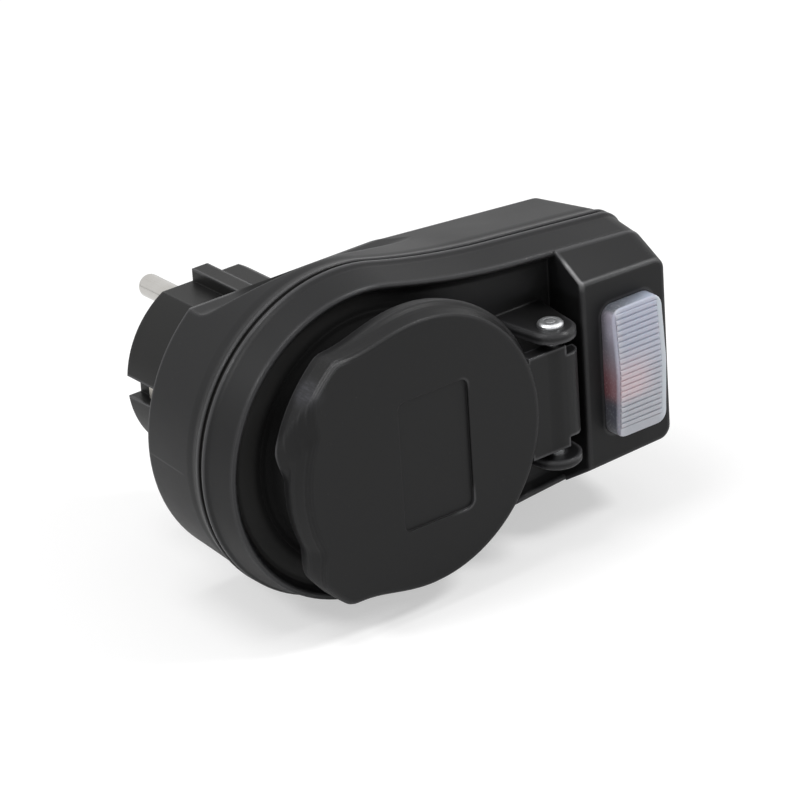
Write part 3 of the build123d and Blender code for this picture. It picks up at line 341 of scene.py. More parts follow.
def moulded(name, dark, pale, roughness, grain, rounding, edge_tint_beyond=None):
    """Black moulding compound: grained skin, faint flow clouds, dust, and paler edges: wear and painted
    highlight.
    """
    finish = Finish(name, {"Specular IOR Level": MOULDED_SPECULAR})
    edge_wear_and_highlight = finish.edges(EDGE_REACH + rounding * EDGE_SPREAD)
    if edge_tint_beyond:
        edge_wear_and_highlight = edge_wear_and_highlight * beyond(finish, edge_tint_beyond)
    flow = finish.cloud(**FLOW)
    skin = finish.cloud(**grain)
    dust = finish.patches(**SPECKS) * finish.patches(**SPECK_PATCHES)
    colour = finish.tint(flow * FLOW_SHARE + skin * (1 - FLOW_SHARE), dark, pale)
    # Edges painted paler: partly handling wear, partly painted highlight.
    colour = finish.tint(edge_wear_and_highlight * EDGE_SHARE, colour, EDGE_WEAR_AND_HIGHLIGHT)
    uneven = (flow - 0.5) * FLOW_ROUGHNESS + (skin - 0.5) * SKIN_ROUGHNESS
    rounded = finish.node("ShaderNodeBevel", {"samples": EDGE_SAMPLES}, {"Radius": rounding})
    finish.set({
        "Base Color": finish.tint(dust * DUST_SHARE, colour, DUST),
        "Roughness": uneven + edge_wear_and_highlight * EDGE_ROUGHNESS + roughness,
        "Normal": finish.relief(skin, MOULDED_GRAIN_DEPTH, rounded),
    })
    return finish


housing_black = moulded("housing_black", **HOUSING_BLACK)
# Painted shade under the lid: darker and rougher within a radius of the socket's axis.
out_of_shade = beyond(housing_black, UNDER_LID_R)
facing = housing_black.node("ShaderNodeNewGeometry", {}, {}, "Normal")
facing_out = housing_black.node("ShaderNodeSeparateXYZ", {}, {0: facing}, "Y")
on_deck = housing_black.fade(facing_out, *DECK_FACING) * housing_black.zone(*DECK)
# Painted highlight along the switch box's top edges.
box_highlight = housing_black.zone(*BOX_HIGHLIGHT_ZONE) * housing_black.edges(BOX_HIGHLIGHT_REACH)
shell_tone = housing_black.tint(box_highlight, housing_black.fed["Base Color"], PAINTED_HIGHLIGHT)
# Painted shade in the hinge bay behind the ears.
hinge_shade = housing_black.zone(*HINGE_SHADE_ZONE) * HINGE_SHADE_SHARE
shell_tone = housing_black.tint(hinge_shade, shell_tone, PAINTED_SHADE)
# Painted highlight along the mould line.
mould_line_highlight = housing_black.zone(*MOULD_LINE) * MOULD_LINE_HIGHLIGHT_SHARE
shell_tone = housing_black.tint(mould_line_highlight, shell_tone, EDGE_WEAR_AND_HIGHLIGHT)
# Painted fill light on the deck left of the lid.
shell_tone = housing_black.tint(on_deck, shell_tone, DECK_FILL_LIGHT)
shell_roughness = housing_black.fed["Roughness"] + (1 - out_of_shade) * UNDER_LID_ROUGHNESS
lip_side, lip_edge = (housing_black.zone(limit) for limit in LIP_HOLLOW)
housing_black.set({
    "Base Color": housing_black.tint(out_of_shade, PAINTED_SHADE, shell_tone),
    "Roughness": shell_roughness + on_deck * DECK_ROUGHNESS,
    "Normal": housing_black.relief(lip_side + lip_edge, LIP_HOLLOW_DEPTH, housing_black.fed["Normal"]),
})
dress(housing_black, "rear_shell", "front_shell")

# The seal in the parting groove, a soft black strip moulding squeezed between the halves, and
# the lid's soft sealing ring. Rubber is dull and a little dusty where it meets the air.
RUBBER_DARK = (0.006, 0.006, 0.006, 1)
RUBBER_BLOOM = (0.013, 0.0125, 0.012, 1)
RUBBER_CLOUDS = {"size": 0.0025, "detail": 4.0}
RUBBER_GRAIN = {"size": 0.00018}
RUBBER_GRAIN_DEPTH = 0.00001
RUBBER_ROUGHNESS = {"plain": 0.62, "bloom": 0.2}

seal_black = Finish("seal_rubber", {"Specular IOR Level": 0.2})
bloom = seal_black.cloud(**RUBBER_CLOUDS)
seal_black.set({
    "Base Color": seal_black.tint(bloom, RUBBER_DARK, RUBBER_BLOOM),
    "Roughness": bloom * RUBBER_ROUGHNESS["bloom"] + RUBBER_ROUGHNESS["plain"],
    "Normal": seal_black.relief(seal_black.cloud(**RUBBER_GRAIN), RUBBER_GRAIN_DEPTH),
})
dress(seal_black, "shell_gasket", "lid_seal")

# The plug's body, the socket's cup, the carrier between them and the switch's body. All are
# moulded in a harder, smoother black compound that insulates the pins and the contacts.
INSERT_BLACK = {
    "dark": (0.0055, 0.0055, 0.0055, 1),
    "pale": (0.0105, 0.0104, 0.0100, 1),
    "roughness": 0.42,
    "grain": {"size": 0.0003, "detail": 3.0, "roughness": 0.65},
    "rounding": 0.00025,
}

insert_black = moulded("insert_black", **INSERT_BLACK)
dress(insert_black, "plug_insert", "socket_insert", "contact_carrier", "switch_body")

# The two pins of the plug, turned from brass bar and plated with bright nickel. The lathe left
# fine rings across them, and use in wall sockets has drawn scratches along them.
NICKEL_BRIGHT = (0.60, 0.59, 0.57, 1)
NICKEL_DULL = (0.42, 0.40, 0.37, 1)
NICKEL_WEAR = {"tarnish": 0.6, "scratches": 0.3}
NICKEL_ROUGHNESS = {"plain": 0.12, "tarnish": 0.08, "scratches": 0.16}
LATHE_RINGS = {"size": (0.01, 0.00012, 0.01), "detail": 1.0}
LATHE_RING_DEPTH = 0.000004
PIN_SCRATCHES = {"size": (0.00025, 0.012, 0.00025), "start": 0.55, "end": 0.75}
TARNISH = {"size": 0.004, "detail": 3.0}

nickel = Finish("pin_nickel", {"Metallic": 1.0})
scratches = nickel.patches(**PIN_SCRATCHES)
tarnish = nickel.cloud(**TARNISH)
pin_wear = tarnish * NICKEL_WEAR["tarnish"] + scratches * NICKEL_WEAR["scratches"]
pin_roughness = scratches * NICKEL_ROUGHNESS["scratches"] + tarnish * NICKEL_ROUGHNESS["tarnish"]
nickel.set({
    "Base Color": nickel.tint(pin_wear, NICKEL_BRIGHT, NICKEL_DULL),
    "Roughness": pin_roughness + NICKEL_ROUGHNESS["plain"],
    "Normal": nickel.relief(nickel.cloud(**LATHE_RINGS), LATHE_RING_DEPTH),
})
dress(nickel, "live_pin", "neutral_pin")

# The earth path: two bowed strips in the plug's side slots and the link that joins them, cut
# from nickel-plated spring bronze. The strips are rubbed where they press on a wall socket.
EARTH_PALE = (0.62, 0.60, 0.56, 1)
EARTH_DULL = (0.40, 0.37, 0.32, 1)
EARTH_ROUGHNESS = {"plain": 0.24, "grain": 0.2, "dull": 0.15}
EARTH_CLOUDS = {"size": 0.003, "detail": 4.0}
EARTH_GRAIN = {"size": (0.00015, 0.008, 0.00015)}
EARTH_GRAIN_DEPTH = 0.000006

earth_plate = Finish("earth_plate", {"Metallic": 1.0})
earth_grain = earth_plate.cloud(**EARTH_GRAIN)
dull = earth_plate.cloud(**EARTH_CLOUDS)
earth_roughness = earth_grain * EARTH_ROUGHNESS["grain"] + dull * EARTH_ROUGHNESS["dull"]
earth_plate.set({
    "Base Color": earth_plate.tint(dull, EARTH_PALE, EARTH_DULL),
    "Roughness": earth_roughness + EARTH_ROUGHNESS["plain"],
    "Normal": earth_plate.relief(earth_grain, EARTH_GRAIN_DEPTH),
})
dress(earth_plate, "earth_clip_left", "earth_clip_right", "earth_link")

# Current-carrying pieces inside: contact sleeves, the lug on the live pin, the switch's tabs,
# plunger and see-saw lever. They are stamped or turned from brass, and darken with age.
BRASS_CLEAN = (0.80, 0.61, 0.31, 1)
BRASS_STAINED = (0.45, 0.27, 0.12, 1)
BRASS_ROUGHNESS = {"plain": 0.2, "rolled": 0.18, "stain": 0.18}
BRASS_STAINS = {"size": 0.0025, "start": 0.45, "end": 0.75, "detail": 5.0}
BRASS_STAIN_SHARE = 0.7
ROLLING_LINES = {"size": (0.0001, 0.006, 0.0001)}
ROLLING_DEPTH = 0.000005

brass = Finish("contact_brass", {"Metallic": 1.0})
stain = brass.patches(**BRASS_STAINS)
rolled = brass.cloud(**ROLLING_LINES)
brass_roughness = rolled * BRASS_ROUGHNESS["rolled"] + stain * BRASS_ROUGHNESS["stain"]
brass.set({
    "Base Color": brass.tint(stain * BRASS_STAIN_SHARE, BRASS_CLEAN, BRASS_STAINED),
    "Roughness": brass_roughness + BRASS_ROUGHNESS["plain"],
    "Normal": brass.relief(rolled, ROLLING_DEPTH),
})
dress(brass, "live_contact", "neutral_contact", "live_lug")
dress(brass, "switch_terminals", "rocker_plunger", "contact_lever")

# The screws, cold headed in steel and zinc plated. The plating is slightly blue, with pale
# cloudy patches where it has started to age.
ZINC_BLUE = (0.63, 0.65, 0.69, 1)
ZINC_AGED = (0.45, 0.46, 0.47, 1)
ZINC_ROUGHNESS = {"plain": 0.2, "aged": 0.3}
ZINC_CLOUDS = {"size": 0.0012, "detail": 4.0}
ZINC_GRAIN = {"size": 0.0002}
ZINC_GRAIN_DEPTH = 0.000008

zinc = Finish("screw_zinc", {"Metallic": 1.0})
aged = zinc.cloud(**ZINC_CLOUDS)
zinc.set({
    "Base Color": zinc.tint(aged, ZINC_BLUE, ZINC_AGED),
    "Roughness": aged * ZINC_ROUGHNESS["aged"] + ZINC_ROUGHNESS["plain"],
    "Normal": zinc.relief(zinc.cloud(**ZINC_GRAIN), ZINC_GRAIN_DEPTH),
})
dress(zinc, "housing_screws", "centre_screw")

# The lid, one black moulding with a wide grip, a finger scoop and a hinge arm. Its skin is
# finer than the housing's, and the label's recess is left plain. The grip's upper horn carries
# a painted highlight with scuff streaks in it, and a painted highlight lies on the face's edge
# at the grip's upper corner. The arm has a soft roll across it where it turns over the rivet.
LID_BLACK = {
    "dark": (0.0042, 0.0042, 0.0044, 1),
    "pale": (0.0078, 0.0078, 0.0082, 1),
    "roughness": 0.46,
    "grain": {"size": 0.0002, "detail": 3.0, "roughness": 0.65},
    "rounding": 0.0003,
    "edge_tint_beyond": 0.0170,
}
# The grip's upper horn: a painted highlight with scuff streaks in it.
SCUFF_AND_HIGHLIGHT = {"spot": (-0.0212, -0.0372, 0.0200), "outer": 0.0042, "inner": 0.0004}
SCUFF_STREAKS = {"size": (0.0003, 0.002, 0.004), "start": 0.35, "end": 0.75, "detail": 3.0}
SCUFF_AND_HIGHLIGHT_SHARE = {"all_over": 0.22, "streaks": 0.3}
SCUFF_AND_HIGHLIGHT_TONE = (0.085, 0.085, 0.098, 1)
# Painted highlight on the lid face's edge at the grip's upper corner.
CORNER_HIGHLIGHT = {"spot": (-0.0175, -0.0398, 0.0225), "outer": 0.0055, "inner": 0.0035}
CORNER_HIGHLIGHT_REACH = 0.0006
ROLL_X = 0.0378
ROLL_WIDTH = (0.0042, 0.0004)
ROLL_HEIGHT = 0.0005

lid_black = moulded("lid_black", **LID_BLACK)
# Painted highlight on the face's edge by the grip.
corner_highlight = lid_black.near(**CORNER_HIGHLIGHT) * lid_black.edges(CORNER_HIGHLIGHT_REACH)
lid_tone = lid_black.tint(corner_highlight, lid_black.fed["Base Color"], PAINTED_HIGHLIGHT)
# Painted highlight on the grip's upper horn, soft all over, with scuff streaks in it.
streaks = lid_black.patches(**SCUFF_STREAKS) * SCUFF_AND_HIGHLIGHT_SHARE["streaks"]
scuffs_and_highlight = (streaks + SCUFF_AND_HIGHLIGHT_SHARE["all_over"]) * lid_black.near(**SCUFF_AND_HIGHLIGHT)
roll = lid_black.fade(abs(lid_black.axis("X") - ROLL_X), *ROLL_WIDTH)
lid_black.set({
    "Base Color": lid_black.tint(scuffs_and_highlight, lid_tone, SCUFF_AND_HIGHLIGHT_TONE),
    "Normal": lid_black.relief(roll, ROLL_HEIGHT, lid_black.fed["Normal"]),
})
dress(lid_black, "lid")

# The rivet through the hinge ears and the lid's arm, drawn steel with its ends rolled over.
# The rolling leaves a shallow ring round the middle of each head.
RIVET_BRIGHT = (0.80, 0.81, 0.83, 1)
RIVET_DULL = (0.55, 0.56, 0.57, 1)
RIVET_WEAR = {"pits": 0.6, "ring": 0.3}
RIVET_ROUGHNESS = {"plain": 0.28, "pits": 0.15}
RIVET_PITS = {"size": 0.0004, "detail": 3.0}
RIVET_PIT_SHARE = 0.1
RIVET_RING = ((0.0008, 0.0011), (0.0015, 0.0012))
RIVET_RING_DEPTH = 0.00004

hinge = next(joint for joint in frame["record"]["behaviour"]["joints"] if joint["name"] == "lid_hinge")
rivet_steel = Finish("rivet_steel", {"Metallic": 1.0})
from_rivet = rivet_steel.away_from(tuple(hinge["pos_m"]), (1, 1, 0))
ring_inside, ring_outside = (rivet_steel.fade(from_rivet, *limits) for limits in RIVET_RING)
ring = ring_inside * ring_outside
pits = rivet_steel.cloud(**RIVET_PITS)
rivet_wear = pits * RIVET_WEAR["pits"] + ring * RIVET_WEAR["ring"]
rivet_steel.set({
    "Base Color": rivet_steel.tint(rivet_wear, RIVET_BRIGHT, RIVET_DULL),
    "Roughness": pits * RIVET_ROUGHNESS["pits"] + RIVET_ROUGHNESS["plain"],
    "Normal": rivet_steel.relief(pits * RIVET_PIT_SHARE - ring, RIVET_RING_DEPTH),
})
dress(rivet_steel, "hinge_rivet")

# The spring that closes the lid, wound round the rivet from drawn spring steel. Its wire is
# dark from heat treatment and bright where the coils have rubbed.
SPRING_DARK = (0.22, 0.21, 0.20, 1)
SPRING_BRIGHT = (0.58, 0.57, 0.56, 1)
SPRING_ROUGHNESS = {"plain": 0.42, "rubbed": -0.15}
SPRING_RUBS = {"size": 0.0008, "start": 0.5, "end": 0.7, "detail": 3.0}
SPRING_RUB_DEPTH = 0.000004

spring_wire = Finish("spring_wire", {"Metallic": 1.0})
rubbed = spring_wire.patches(**SPRING_RUBS)
spring_wire.set({
    "Base Color": spring_wire.tint(rubbed, SPRING_DARK, SPRING_BRIGHT),
    "Roughness": rubbed * SPRING_ROUGHNESS["rubbed"] + SPRING_ROUGHNESS["plain"],
    "Normal": spring_wire.relief(rubbed, SPRING_RUB_DEPTH),
})
dress(spring_wire, "lid_spring")

# The rocker under the boot, moulded in clear red. The lamp below it makes it glow towards its
# lower end, and its two pivots run in the switch body.
ROCKER_DEEP = (0.62, 0.02, 0.02, 1)
ROCKER_PALE = (0.75, 0.05, 0.04, 1)
ROCKER_UNLIT = (0.05, 0.0, 0.0, 1)
ROCKER_LIT = (0.9, 0.05, 0.03, 1)
ROCKER_ROUGHNESS = {"plain": 0.18, "cloudy": 0.15}
ROCKER_CLOUDS = {"size": 0.003, "detail": 3.0}
ROCKER_CLOUD_DEPTH = 0.00001

red_clear = Finish("rocker_red", {"Specular IOR Level": 0.5, "Emission Strength": 0.25})
rocker_low, rocker_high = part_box("rocker")
lit = red_clear.fade(red_clear.axis("Z"), rocker_high[2], rocker_low[2])
cloudy = red_clear.cloud(**ROCKER_CLOUDS)
red_clear.set({
    "Base Color": red_clear.tint(cloudy, ROCKER_DEEP, ROCKER_PALE),
    "Roughness": cloudy * ROCKER_ROUGHNESS["cloudy"] + ROCKER_ROUGHNESS["plain"],
    "Emission Color": red_clear.tint(lit, ROCKER_UNLIT, ROCKER_LIT),
    "Normal": red_clear.relief(cloudy, ROCKER_CLOUD_DEPTH),
})
dress(red_clear, "rocker")

# The boot over the rocker, moulded in one piece from milky silicone. Its flange is clamped
# under the switch box, its roof is hollow and follows the rocker, and cross ribs give grip.
# The silicone is cloudy. Its light and shade are painted into its colour: lit and shaded
# tones on the face, walls and cap ends, painted shade at the foot by the seat, and the red
# rocker and its glow painted where they show through.
BOOT_FLANGE_WIDTH = 0.0012
BOOT_FLANGE_THICK = 0.0013
BOOT_WALL = 0.0012
BOOT_CORNER = 0.0023
BOOT_CORNER_STEPS = 5
BOOT_PROUD = 0.0041
BOOT_RIM_ROUND = 0.0005
BOOT_RIM_STEPS = 4
BOOT_RIDGE_ROUND = 0.0006
BOOT_RIDGE_STEPS = 3
BOOT_SLOPES = {"upper": radians(3.8), "lower": radians(3.4)}
BOOT_HOLLOW_STEP = 0.0008
BOOT_SMOOTH = radians(38)
RIM_REACH = 0.0002
RIB_COUNT = 21
RIB_SHARE = 0.72
RIB_HEIGHT = 0.0003
RIB_ROUND = 0.00015
RIB_STEPS = 3
RIB_BORDER = {"left": 0.0007, "right": 0.0014, "top": 0.0009, "bottom": 0.0022}
RIB_FIELD_SINK = 0.0001
RIB_END_GAP = 0.0001
TOUCH = 0.00001
ALONG = 0.9
ASIDE = 0.5
FACE_ON = 0.99
SILICONE = {
    "Specular IOR Level": 0.4,
    "Subsurface Weight": 0.2,
    "Subsurface Radius": (1.0, 0.6, 0.6),
    "Subsurface Scale": 0.0007,
    # Strength of the painted red glow below the ridge.
    "Emission Strength": 0.05,
}
SILICONE_ROUGHNESS = {"plain": 0.38, "clouds": 0.15, "grain": 0.1}
SILICONE_CLOUDS = {"size": 0.004}
SILICONE_GRAIN = {"size": 0.00025}
SILICONE_GRAIN_DEPTH = 0.00002
SILICONE_DUST = {"size": 0.0005, "start": 0.5, "end": 0.8}
PALE_MILK = (0.56, 0.57, 0.60, 1)
PALE_SHARES = {"clouds": 0.12, "dust": 0.22}
NO_LIGHT = (0, 0, 0, 1)
LAMP_LIGHT = (0.6, 0.06, 0.08, 1)
# Painted light and shade on the boot's face: a tone from top to bottom, painted lighter to the left, a
# painted highlight along the right border, and the left border strip lit above and shaded below.
FACE_LIGHT_AND_SHADE = {
    "high": (0.41, 0.43, 0.52, 1),
    "low": (0.40, 0.41, 0.45, 1),
    "left": (0.52, 0.52, 0.57, 1),
    "right": (0.50, 0.54, 0.58, 1),
    "warm": (0.60, 0.49, 0.51, 1),
}
FACE_LIGHT_AND_SHADE_SHARES = {"left": 0.6, "warm": 0.6, "strip": 0.8}
FACE_HEIGHTS = (0.012, -0.010)
FACE_LEFT_REACH = 0.0035
FACE_RIGHT_REACH = 0.001
# Where the rocker's red glow is painted on the face, as a warm tint and a faint emission.
GLOW_HEIGHTS = (("Z", 0.006, -0.002), ("Z", -0.0072, -0.0040))
GLOW_REACH = 0.002
STRIP_LIGHT_AND_SHADE = {"high": (0.33, 0.33, 0.42, 1), "low": (0.145, 0.14, 0.19, 1)}
STRIP_HEIGHTS = (0.005, -0.007)
STRIP_REACH = 0.0002
# Painted light and shade on the walls and cap ends: walls lit at the top, red where the rocker and its
# glow show through, painted shade below the rocker, at the lower end and at the foot by the seat; cap
# ends run from painted shade on the left to painted light on the right.
WALL_LIGHT_AND_SHADE = {
    "high": (0.28, 0.26, 0.32, 1),
    "low": (0.22, 0.16, 0.18, 1),
    "rocker": (0.21, 0.105, 0.125, 1),
    "rocker_foot": (0.10, 0.018, 0.024, 1),
    "below_rocker": (0.062, 0.066, 0.09, 1),
    "end": (0.17, 0.175, 0.19, 1),
    "foot": (0.05, 0.045, 0.05, 1),
}
WALL_LIGHT_AND_SHADE_SHARES = {"rocker": 0.7, "foot": 0.45, "top": 0.3}
WALL_HEIGHTS = (0.008, -0.003)
ROCKER_HEIGHTS = (0.0020, -0.0035)
BELOW_ROCKER_HEIGHTS = (-0.0040, -0.0064)
END_HEIGHTS = (-0.0095, -0.0132)
WALL_FOOT_REACH = 0.0014
WALL_TOP_REACH = 0.0015
WALL_TOP_HEIGHTS = (-0.009, 0.004, 0.3, 1.0)
CAP_LIGHT_AND_SHADE = {
    "left": (0.06, 0.066, 0.08, 1),
    "right": (0.36, 0.40, 0.50, 1),
    "foot": (0.07, 0.08, 0.10, 1),
}
CAP_FOOT_SHARE = 0.5
CAP_REACH = 0.006
CAP_BORDER = (0.0012, 0.0003)
ROOF_BORDER = (0.0001, 0.0005)

boot_low, boot_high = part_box("switch_boot")
boot_x = (boot_low[0] + boot_high[0]) / 2
half_wide = (boot_high[0] - boot_low[0]) / 2 - BOOT_FLANGE_WIDTH
half_tall = (boot_high[2] - boot_low[2]) / 2 - BOOT_FLANGE_WIDTH
boot_back = boot_high[1]
seat = boot_back - BOOT_FLANGE_THICK
roof = boot_low[1]
box_face = roof + BOOT_PROUD
hollow_floor = roof + BOOT_WALL + BOOT_HOLLOW_STEP
field_left = boot_x - half_wide + RIB_BORDER["left"]
field_right = boot_x + half_wide - RIB_BORDER["right"]
field_top = half_tall - RIB_BORDER["top"]
field_low = RIB_BORDER["bottom"] - half_tall
rib_pitch = (field_top - field_low) / RIB_COUNT
rib_half = RIB_SHARE * rib_pitch / 2


def pick(piece, kind, wanted):
    """In edit mode, select the faces, edges or vertices whose middle and direction are wanted."""
    bpy.ops.mesh.select_mode(type=kind)
    bpy.ops.mesh.select_all(action="DESELECT")
    bpy.ops.object.mode_set(mode="OBJECT")
    mesh = piece.data
    points = [vertex.co for vertex in mesh.vertices]
    if kind == "FACE":
        for face in mesh.polygons:
            face.select = bool(wanted(face.center, face.normal))
    elif kind == "EDGE":
        for edge in mesh.edges:
            first, second = (points[i] for i in edge.vertices)
            edge.select = bool(wanted((first + second) / 2, (second - first).normalized()))
    else:
        for vertex in mesh.vertices:
            vertex.select = bool(wanted(vertex.co, vertex.normal))
    bpy.ops.object.mode_set(mode="EDIT")


def split(piece, wanted, place, direction):
    """Cut the wanted faces along a plane, leaving both sides."""
    pick(piece, "FACE", wanted)
    bpy.ops.mesh.bisect(plane_co=place, plane_no=direction)


def push_out(distance):
    """Extrude the picked faces away from the wall, or towards it by a negative distance."""
    bpy.ops.mesh.extrude_region_move(TRANSFORM_OT_translate={"value": (0, -distance, 0)})


def on_plan_corner(middle, way):
    return abs(way.y) > ALONG


def on_flange_side(middle, way):
    return middle.y > seat and abs(way.y) < ASIDE


def on_back(middle, way):
    return middle.y > boot_back - TOUCH and abs(middle.x - boot_x) < half_wide / 2


def on_hollow_floor(middle, way):
    return abs(middle.y - hollow_floor) < TOUCH


def on_hollow_middle(place, way):
    return abs(place.y - hollow_floor) < TOUCH and abs(place.z) < TOUCH


def on_ridge(middle, way):
    return abs(way.x) > ALONG and abs(middle.z) < TOUCH and middle.y < roof + TOUCH


def on_rim(middle, way):
    """True for the edges where the roof meets the walls."""
    deep = roof + abs(middle.z) * tan(BOOT_SLOPES["upper" if middle.z > 0 else "lower"])
    by_side = abs(middle.x - boot_x) > half_wide - BOOT_CORNER
    by_end = abs(middle.z) > half_tall - BOOT_CORNER
    return abs(middle.y - deep) < RIM_REACH and (by_side or by_end) and abs(way.y) < ALONG


def on_roof(middle, way):
    inside = abs(middle.x - boot_x) < half_wide - BOOT_RIM_ROUND
    return way.y < -FACE_ON and middle.y < box_face and inside


def in_field(middle, way):
    inside = field_left < middle.x < field_right and field_low < middle.z < field_top
    return on_roof(middle, way) and inside


def on_rib(middle, way):
    step = (field_top - middle.z) / rib_pitch
    between = field_left + RIB_END_GAP < middle.x < field_right - RIB_END_GAP
    return in_field(middle, way) and between and abs(step % 1 - 0.5) * rib_pitch < rib_half


# One block is shaped in turn: plan corners, two roof facets, flange, hollow, edges, ribs.
bpy.ops.object.select_all(action="DESELECT")
bpy.ops.mesh.primitive_cube_add(size=1, location=(boot_x, (roof + boot_back) / 2, 0))
boot = bpy.context.object
boot.name = "ribbed_boot"
boot.scale = (2 * half_wide, boot_back - roof, 2 * half_tall)
bpy.ops.object.transform_apply(location=True, rotation=True, scale=True)
bpy.ops.object.mode_set(mode="EDIT")
pick(boot, "EDGE", on_plan_corner)
bpy.ops.mesh.bevel(offset=BOOT_CORNER, segments=BOOT_CORNER_STEPS, affect="EDGES")
for slope in (BOOT_SLOPES["upper"], -BOOT_SLOPES["lower"]):
    bpy.ops.mesh.select_all(action="SELECT")
    bpy.ops.mesh.bisect(
        plane_co=(boot_x, roof, 0),
        plane_no=(0, -cos(slope), sin(slope)),
        use_fill=True,
        clear_outer=True,
    )
bpy.ops.mesh.select_all(action="SELECT")
bpy.ops.mesh.bisect(plane_co=(0, seat, 0), plane_no=(0, 1, 0))
pick(boot, "FACE", on_flange_side)
bpy.ops.mesh.extrude_region_shrink_fatten(TRANSFORM_OT_shrink_fatten={"value": BOOT_FLANGE_WIDTH})

pick(boot, "FACE", on_back)
bpy.ops.mesh.inset(thickness=BOOT_WALL)
push_out(boot_back - hollow_floor)
split(boot, on_hollow_floor, (boot_x, 0, 0), (0, 0, 1))
pick(boot, "VERT", on_hollow_middle)
bpy.ops.transform.translate(value=(0, -BOOT_HOLLOW_STEP, 0))
pick(boot, "EDGE", on_ridge)
bpy.ops.mesh.bevel(offset=BOOT_RIDGE_ROUND, segments=BOOT_RIDGE_STEPS, affect="EDGES")
pick(boot, "EDGE", on_rim)
bpy.ops.mesh.bevel(offset=BOOT_RIM_ROUND, segments=BOOT_RIM_STEPS, affect="EDGES")

for border in (field_left, field_right):
    split(boot, on_roof, (border, 0, 0), (1, 0, 0))
for border in (field_low, field_top):
    split(boot, on_roof, (0, 0, border), (0, 0, 1))
pick(boot, "FACE", in_field)
push_out(-RIB_FIELD_SINK)
for border in (field_left + RIB_END_GAP, field_right - RIB_END_GAP):
    split(boot, in_field, (border, 0, 0), (1, 0, 0))
for rib in range(RIB_COUNT):
    rib_middle = field_top - (rib + 0.5) * rib_pitch
    for rib_side in (rib_middle + rib_half, rib_middle - rib_half):
        split(boot, in_field, (0, 0, rib_side), (0, 0, 1))
pick(boot, "FACE", on_rib)
push_out(RIB_HEIGHT)
bpy.ops.mesh.region_to_loop()
bpy.ops.mesh.bevel(offset=RIB_ROUND, segments=RIB_STEPS, affect="EDGES")
bpy.ops.object.mode_set(mode="OBJECT")
bpy.ops.object.shade_smooth_by_angle(angle=BOOT_SMOOTH)

# The skin is matt, cloudy and a little dusty. Its light is painted: a red glow painted below
# the ridge where the lamp shines through, and painted light and shade on the face, walls and
# cap ends.
silicone = Finish("milky_silicone", SILICONE)
across, along_out, up = silicone.axis("X"), silicone.axis("Y"), silicone.axis("Z")
milk = silicone.cloud(**SILICONE_CLOUDS)
skin = silicone.cloud(**SILICONE_GRAIN)
near_seat = silicone.fade(along_out, roof + WALL_FOOT_REACH, box_face)

# Painted glow: a warm tint and a faint red emission below the ridge on the left, for the lamp shining
# through.
warm = silicone.zone(*GLOW_HEIGHTS, ("X", field_right, boot_x - GLOW_REACH))
lit_to_left = silicone.fade(across, boot_x - FACE_LEFT_REACH, field_left)
right_highlight = silicone.fade(across, field_right - FACE_RIGHT_REACH, field_right + FACE_RIGHT_REACH)
left_strip = silicone.fade(across, field_left + STRIP_REACH, field_left)
strip_light_and_shade = silicone.tint(silicone.fade(up, *STRIP_HEIGHTS), STRIP_LIGHT_AND_SHADE["high"], STRIP_LIGHT_AND_SHADE["low"])
# Painted light and shade on the face, with a painted highlight on the right border and a lit and shaded
# left strip.
face_light_and_shade = silicone.tint(silicone.fade(up, *FACE_HEIGHTS), FACE_LIGHT_AND_SHADE["high"], FACE_LIGHT_AND_SHADE["low"])
for mask, tone in (
    (lit_to_left * FACE_LIGHT_AND_SHADE_SHARES["left"], FACE_LIGHT_AND_SHADE["left"]),
    (right_highlight, FACE_LIGHT_AND_SHADE["right"]),
    (warm * FACE_LIGHT_AND_SHADE_SHARES["warm"], FACE_LIGHT_AND_SHADE["warm"]),
    (left_strip * FACE_LIGHT_AND_SHADE_SHARES["strip"], strip_light_and_shade),
):
    face_light_and_shade = silicone.tint(mask, face_light_and_shade, tone)

# Painted light and shade on the walls: red by the rocker, painted shade below it, at the lower end and
# at the foot.
by_rocker = silicone.fade(up, *ROCKER_HEIGHTS)
wall_top = silicone.fade(along_out, box_face - WALL_TOP_REACH, roof)
wall_top = wall_top * silicone.fade(up, *WALL_TOP_HEIGHTS)
wall_light_and_shade = silicone.tint(silicone.fade(up, *WALL_HEIGHTS), WALL_LIGHT_AND_SHADE["high"], WALL_LIGHT_AND_SHADE["low"])
for mask, tone in (
    (by_rocker * WALL_LIGHT_AND_SHADE_SHARES["rocker"], WALL_LIGHT_AND_SHADE["rocker"]),
    (by_rocker * near_seat, WALL_LIGHT_AND_SHADE["rocker_foot"]),
    (silicone.fade(up, *BELOW_ROCKER_HEIGHTS), WALL_LIGHT_AND_SHADE["below_rocker"]),
    (silicone.fade(up, *END_HEIGHTS), WALL_LIGHT_AND_SHADE["end"]),
    (near_seat * WALL_LIGHT_AND_SHADE_SHARES["foot"], WALL_LIGHT_AND_SHADE["foot"]),
    (wall_top * WALL_LIGHT_AND_SHADE_SHARES["top"], face_light_and_shade),
):
    wall_light_and_shade = silicone.tint(mask, wall_light_and_shade, tone)

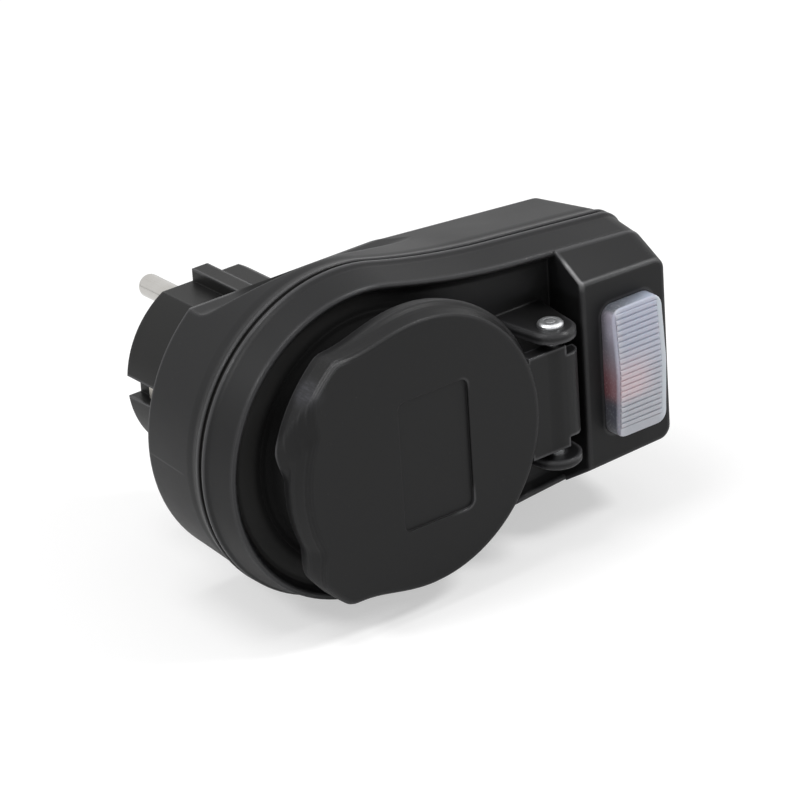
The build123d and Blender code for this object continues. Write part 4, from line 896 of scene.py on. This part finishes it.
# The cap ends run from painted shade on the left to painted light on the right, with painted shade at
# the foot.
to_cap_right = silicone.fade(across, boot_x - CAP_REACH, boot_x + CAP_REACH)
cap_light_and_shade = silicone.tint(to_cap_right, CAP_LIGHT_AND_SHADE["left"], CAP_LIGHT_AND_SHADE["right"])
cap_light_and_shade = silicone.tint(near_seat * CAP_FOOT_SHARE, cap_light_and_shade, CAP_LIGHT_AND_SHADE["foot"])
on_cap = silicone.fade(up, *(half_tall - border for border in CAP_BORDER))
below_roof = along_out - abs(up) * tan(BOOT_SLOPES["upper"])
on_wall = silicone.fade(below_roof, *(roof + border for border in ROOF_BORDER))
boot_light_and_shade = silicone.tint(on_wall, face_light_and_shade, silicone.tint(on_cap, wall_light_and_shade, cap_light_and_shade))
dusty = silicone.patches(**SILICONE_DUST)
paler = milk * PALE_SHARES["clouds"] + dusty * PALE_SHARES["dust"]
boot_roughness = milk * SILICONE_ROUGHNESS["clouds"] + skin * SILICONE_ROUGHNESS["grain"]
silicone.set({
    "Base Color": silicone.tint(paler, boot_light_and_shade, PALE_MILK),
    "Roughness": boot_roughness + SILICONE_ROUGHNESS["plain"],
    "Emission Color": silicone.tint(warm, NO_LIGHT, LAMP_LIGHT),
    "Normal": silicone.relief(skin, SILICONE_GRAIN_DEPTH),
})
boot.data.materials.append(silicone.owner)
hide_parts("switch_boot")
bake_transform(boot)

# The switch's lamp, a small glass tube lying in two ledges of the switch body. The glass is
# clear with a warm glow from the gas between its wires.
GLASS_PALE = (0.95, 0.62, 0.42, 1)
GLASS_WARM = (0.92, 0.42, 0.25, 1)
GAS_BRIGHT = (0.9, 0.30, 0.10, 1)
GAS_DIM = (0.5, 0.08, 0.02, 1)
GAS_CLOUDS = {"size": 0.0012}
GLASS_ROUGHNESS = {"plain": 0.05, "gas": 0.1}

lamp_glow = Finish("lamp_glass", {"Transmission Weight": 0.6, "Emission Strength": 0.5})
gas = lamp_glow.cloud(**GAS_CLOUDS)
lamp_glow.set({
    "Base Color": lamp_glow.tint(gas, GLASS_PALE, GLASS_WARM),
    "Roughness": gas * GLASS_ROUGHNESS["gas"] + GLASS_ROUGHNESS["plain"],
    "Emission Color": lamp_glow.tint(gas, GAS_BRIGHT, GAS_DIM),
})
dress(lamp_glow, "neon_lamp")

# Three short leads from the contacts to the switch's tabs, in soft extruded insulation. Two
# are brown and one is blue, and the drawing of the lead has left faint lines along them.
LEADS = {
    "brown_lead": {
        "nodes": ("live_wire_in", "live_wire_out"),
        "deep": (0.12, 0.045, 0.02, 1),
        "pale": (0.19, 0.08, 0.04, 1),
    },
    "blue_lead": {
        "nodes": ("lamp_wire",),
        "deep": (0.02, 0.08, 0.30, 1),
        "pale": (0.05, 0.15, 0.45, 1),
    },
}
LEAD_LINES = {"size": (0.006, 0.0003, 0.0003), "detail": 3.0}
LEAD_LINE_DEPTH = 0.00001
LEAD_ROUGHNESS = {"plain": 0.4, "lines": 0.2}

for name, lead in LEADS.items():
    insulation = Finish(name, {"Specular IOR Level": 0.4})
    drawn = insulation.cloud(**LEAD_LINES)
    insulation.set({
        "Base Color": insulation.tint(drawn, lead["deep"], lead["pale"]),
        "Roughness": drawn * LEAD_ROUGHNESS["lines"] + LEAD_ROUGHNESS["plain"],
        "Normal": insulation.relief(drawn, LEAD_LINE_DEPTH),
    })
    dress(insulation, *lead["nodes"])
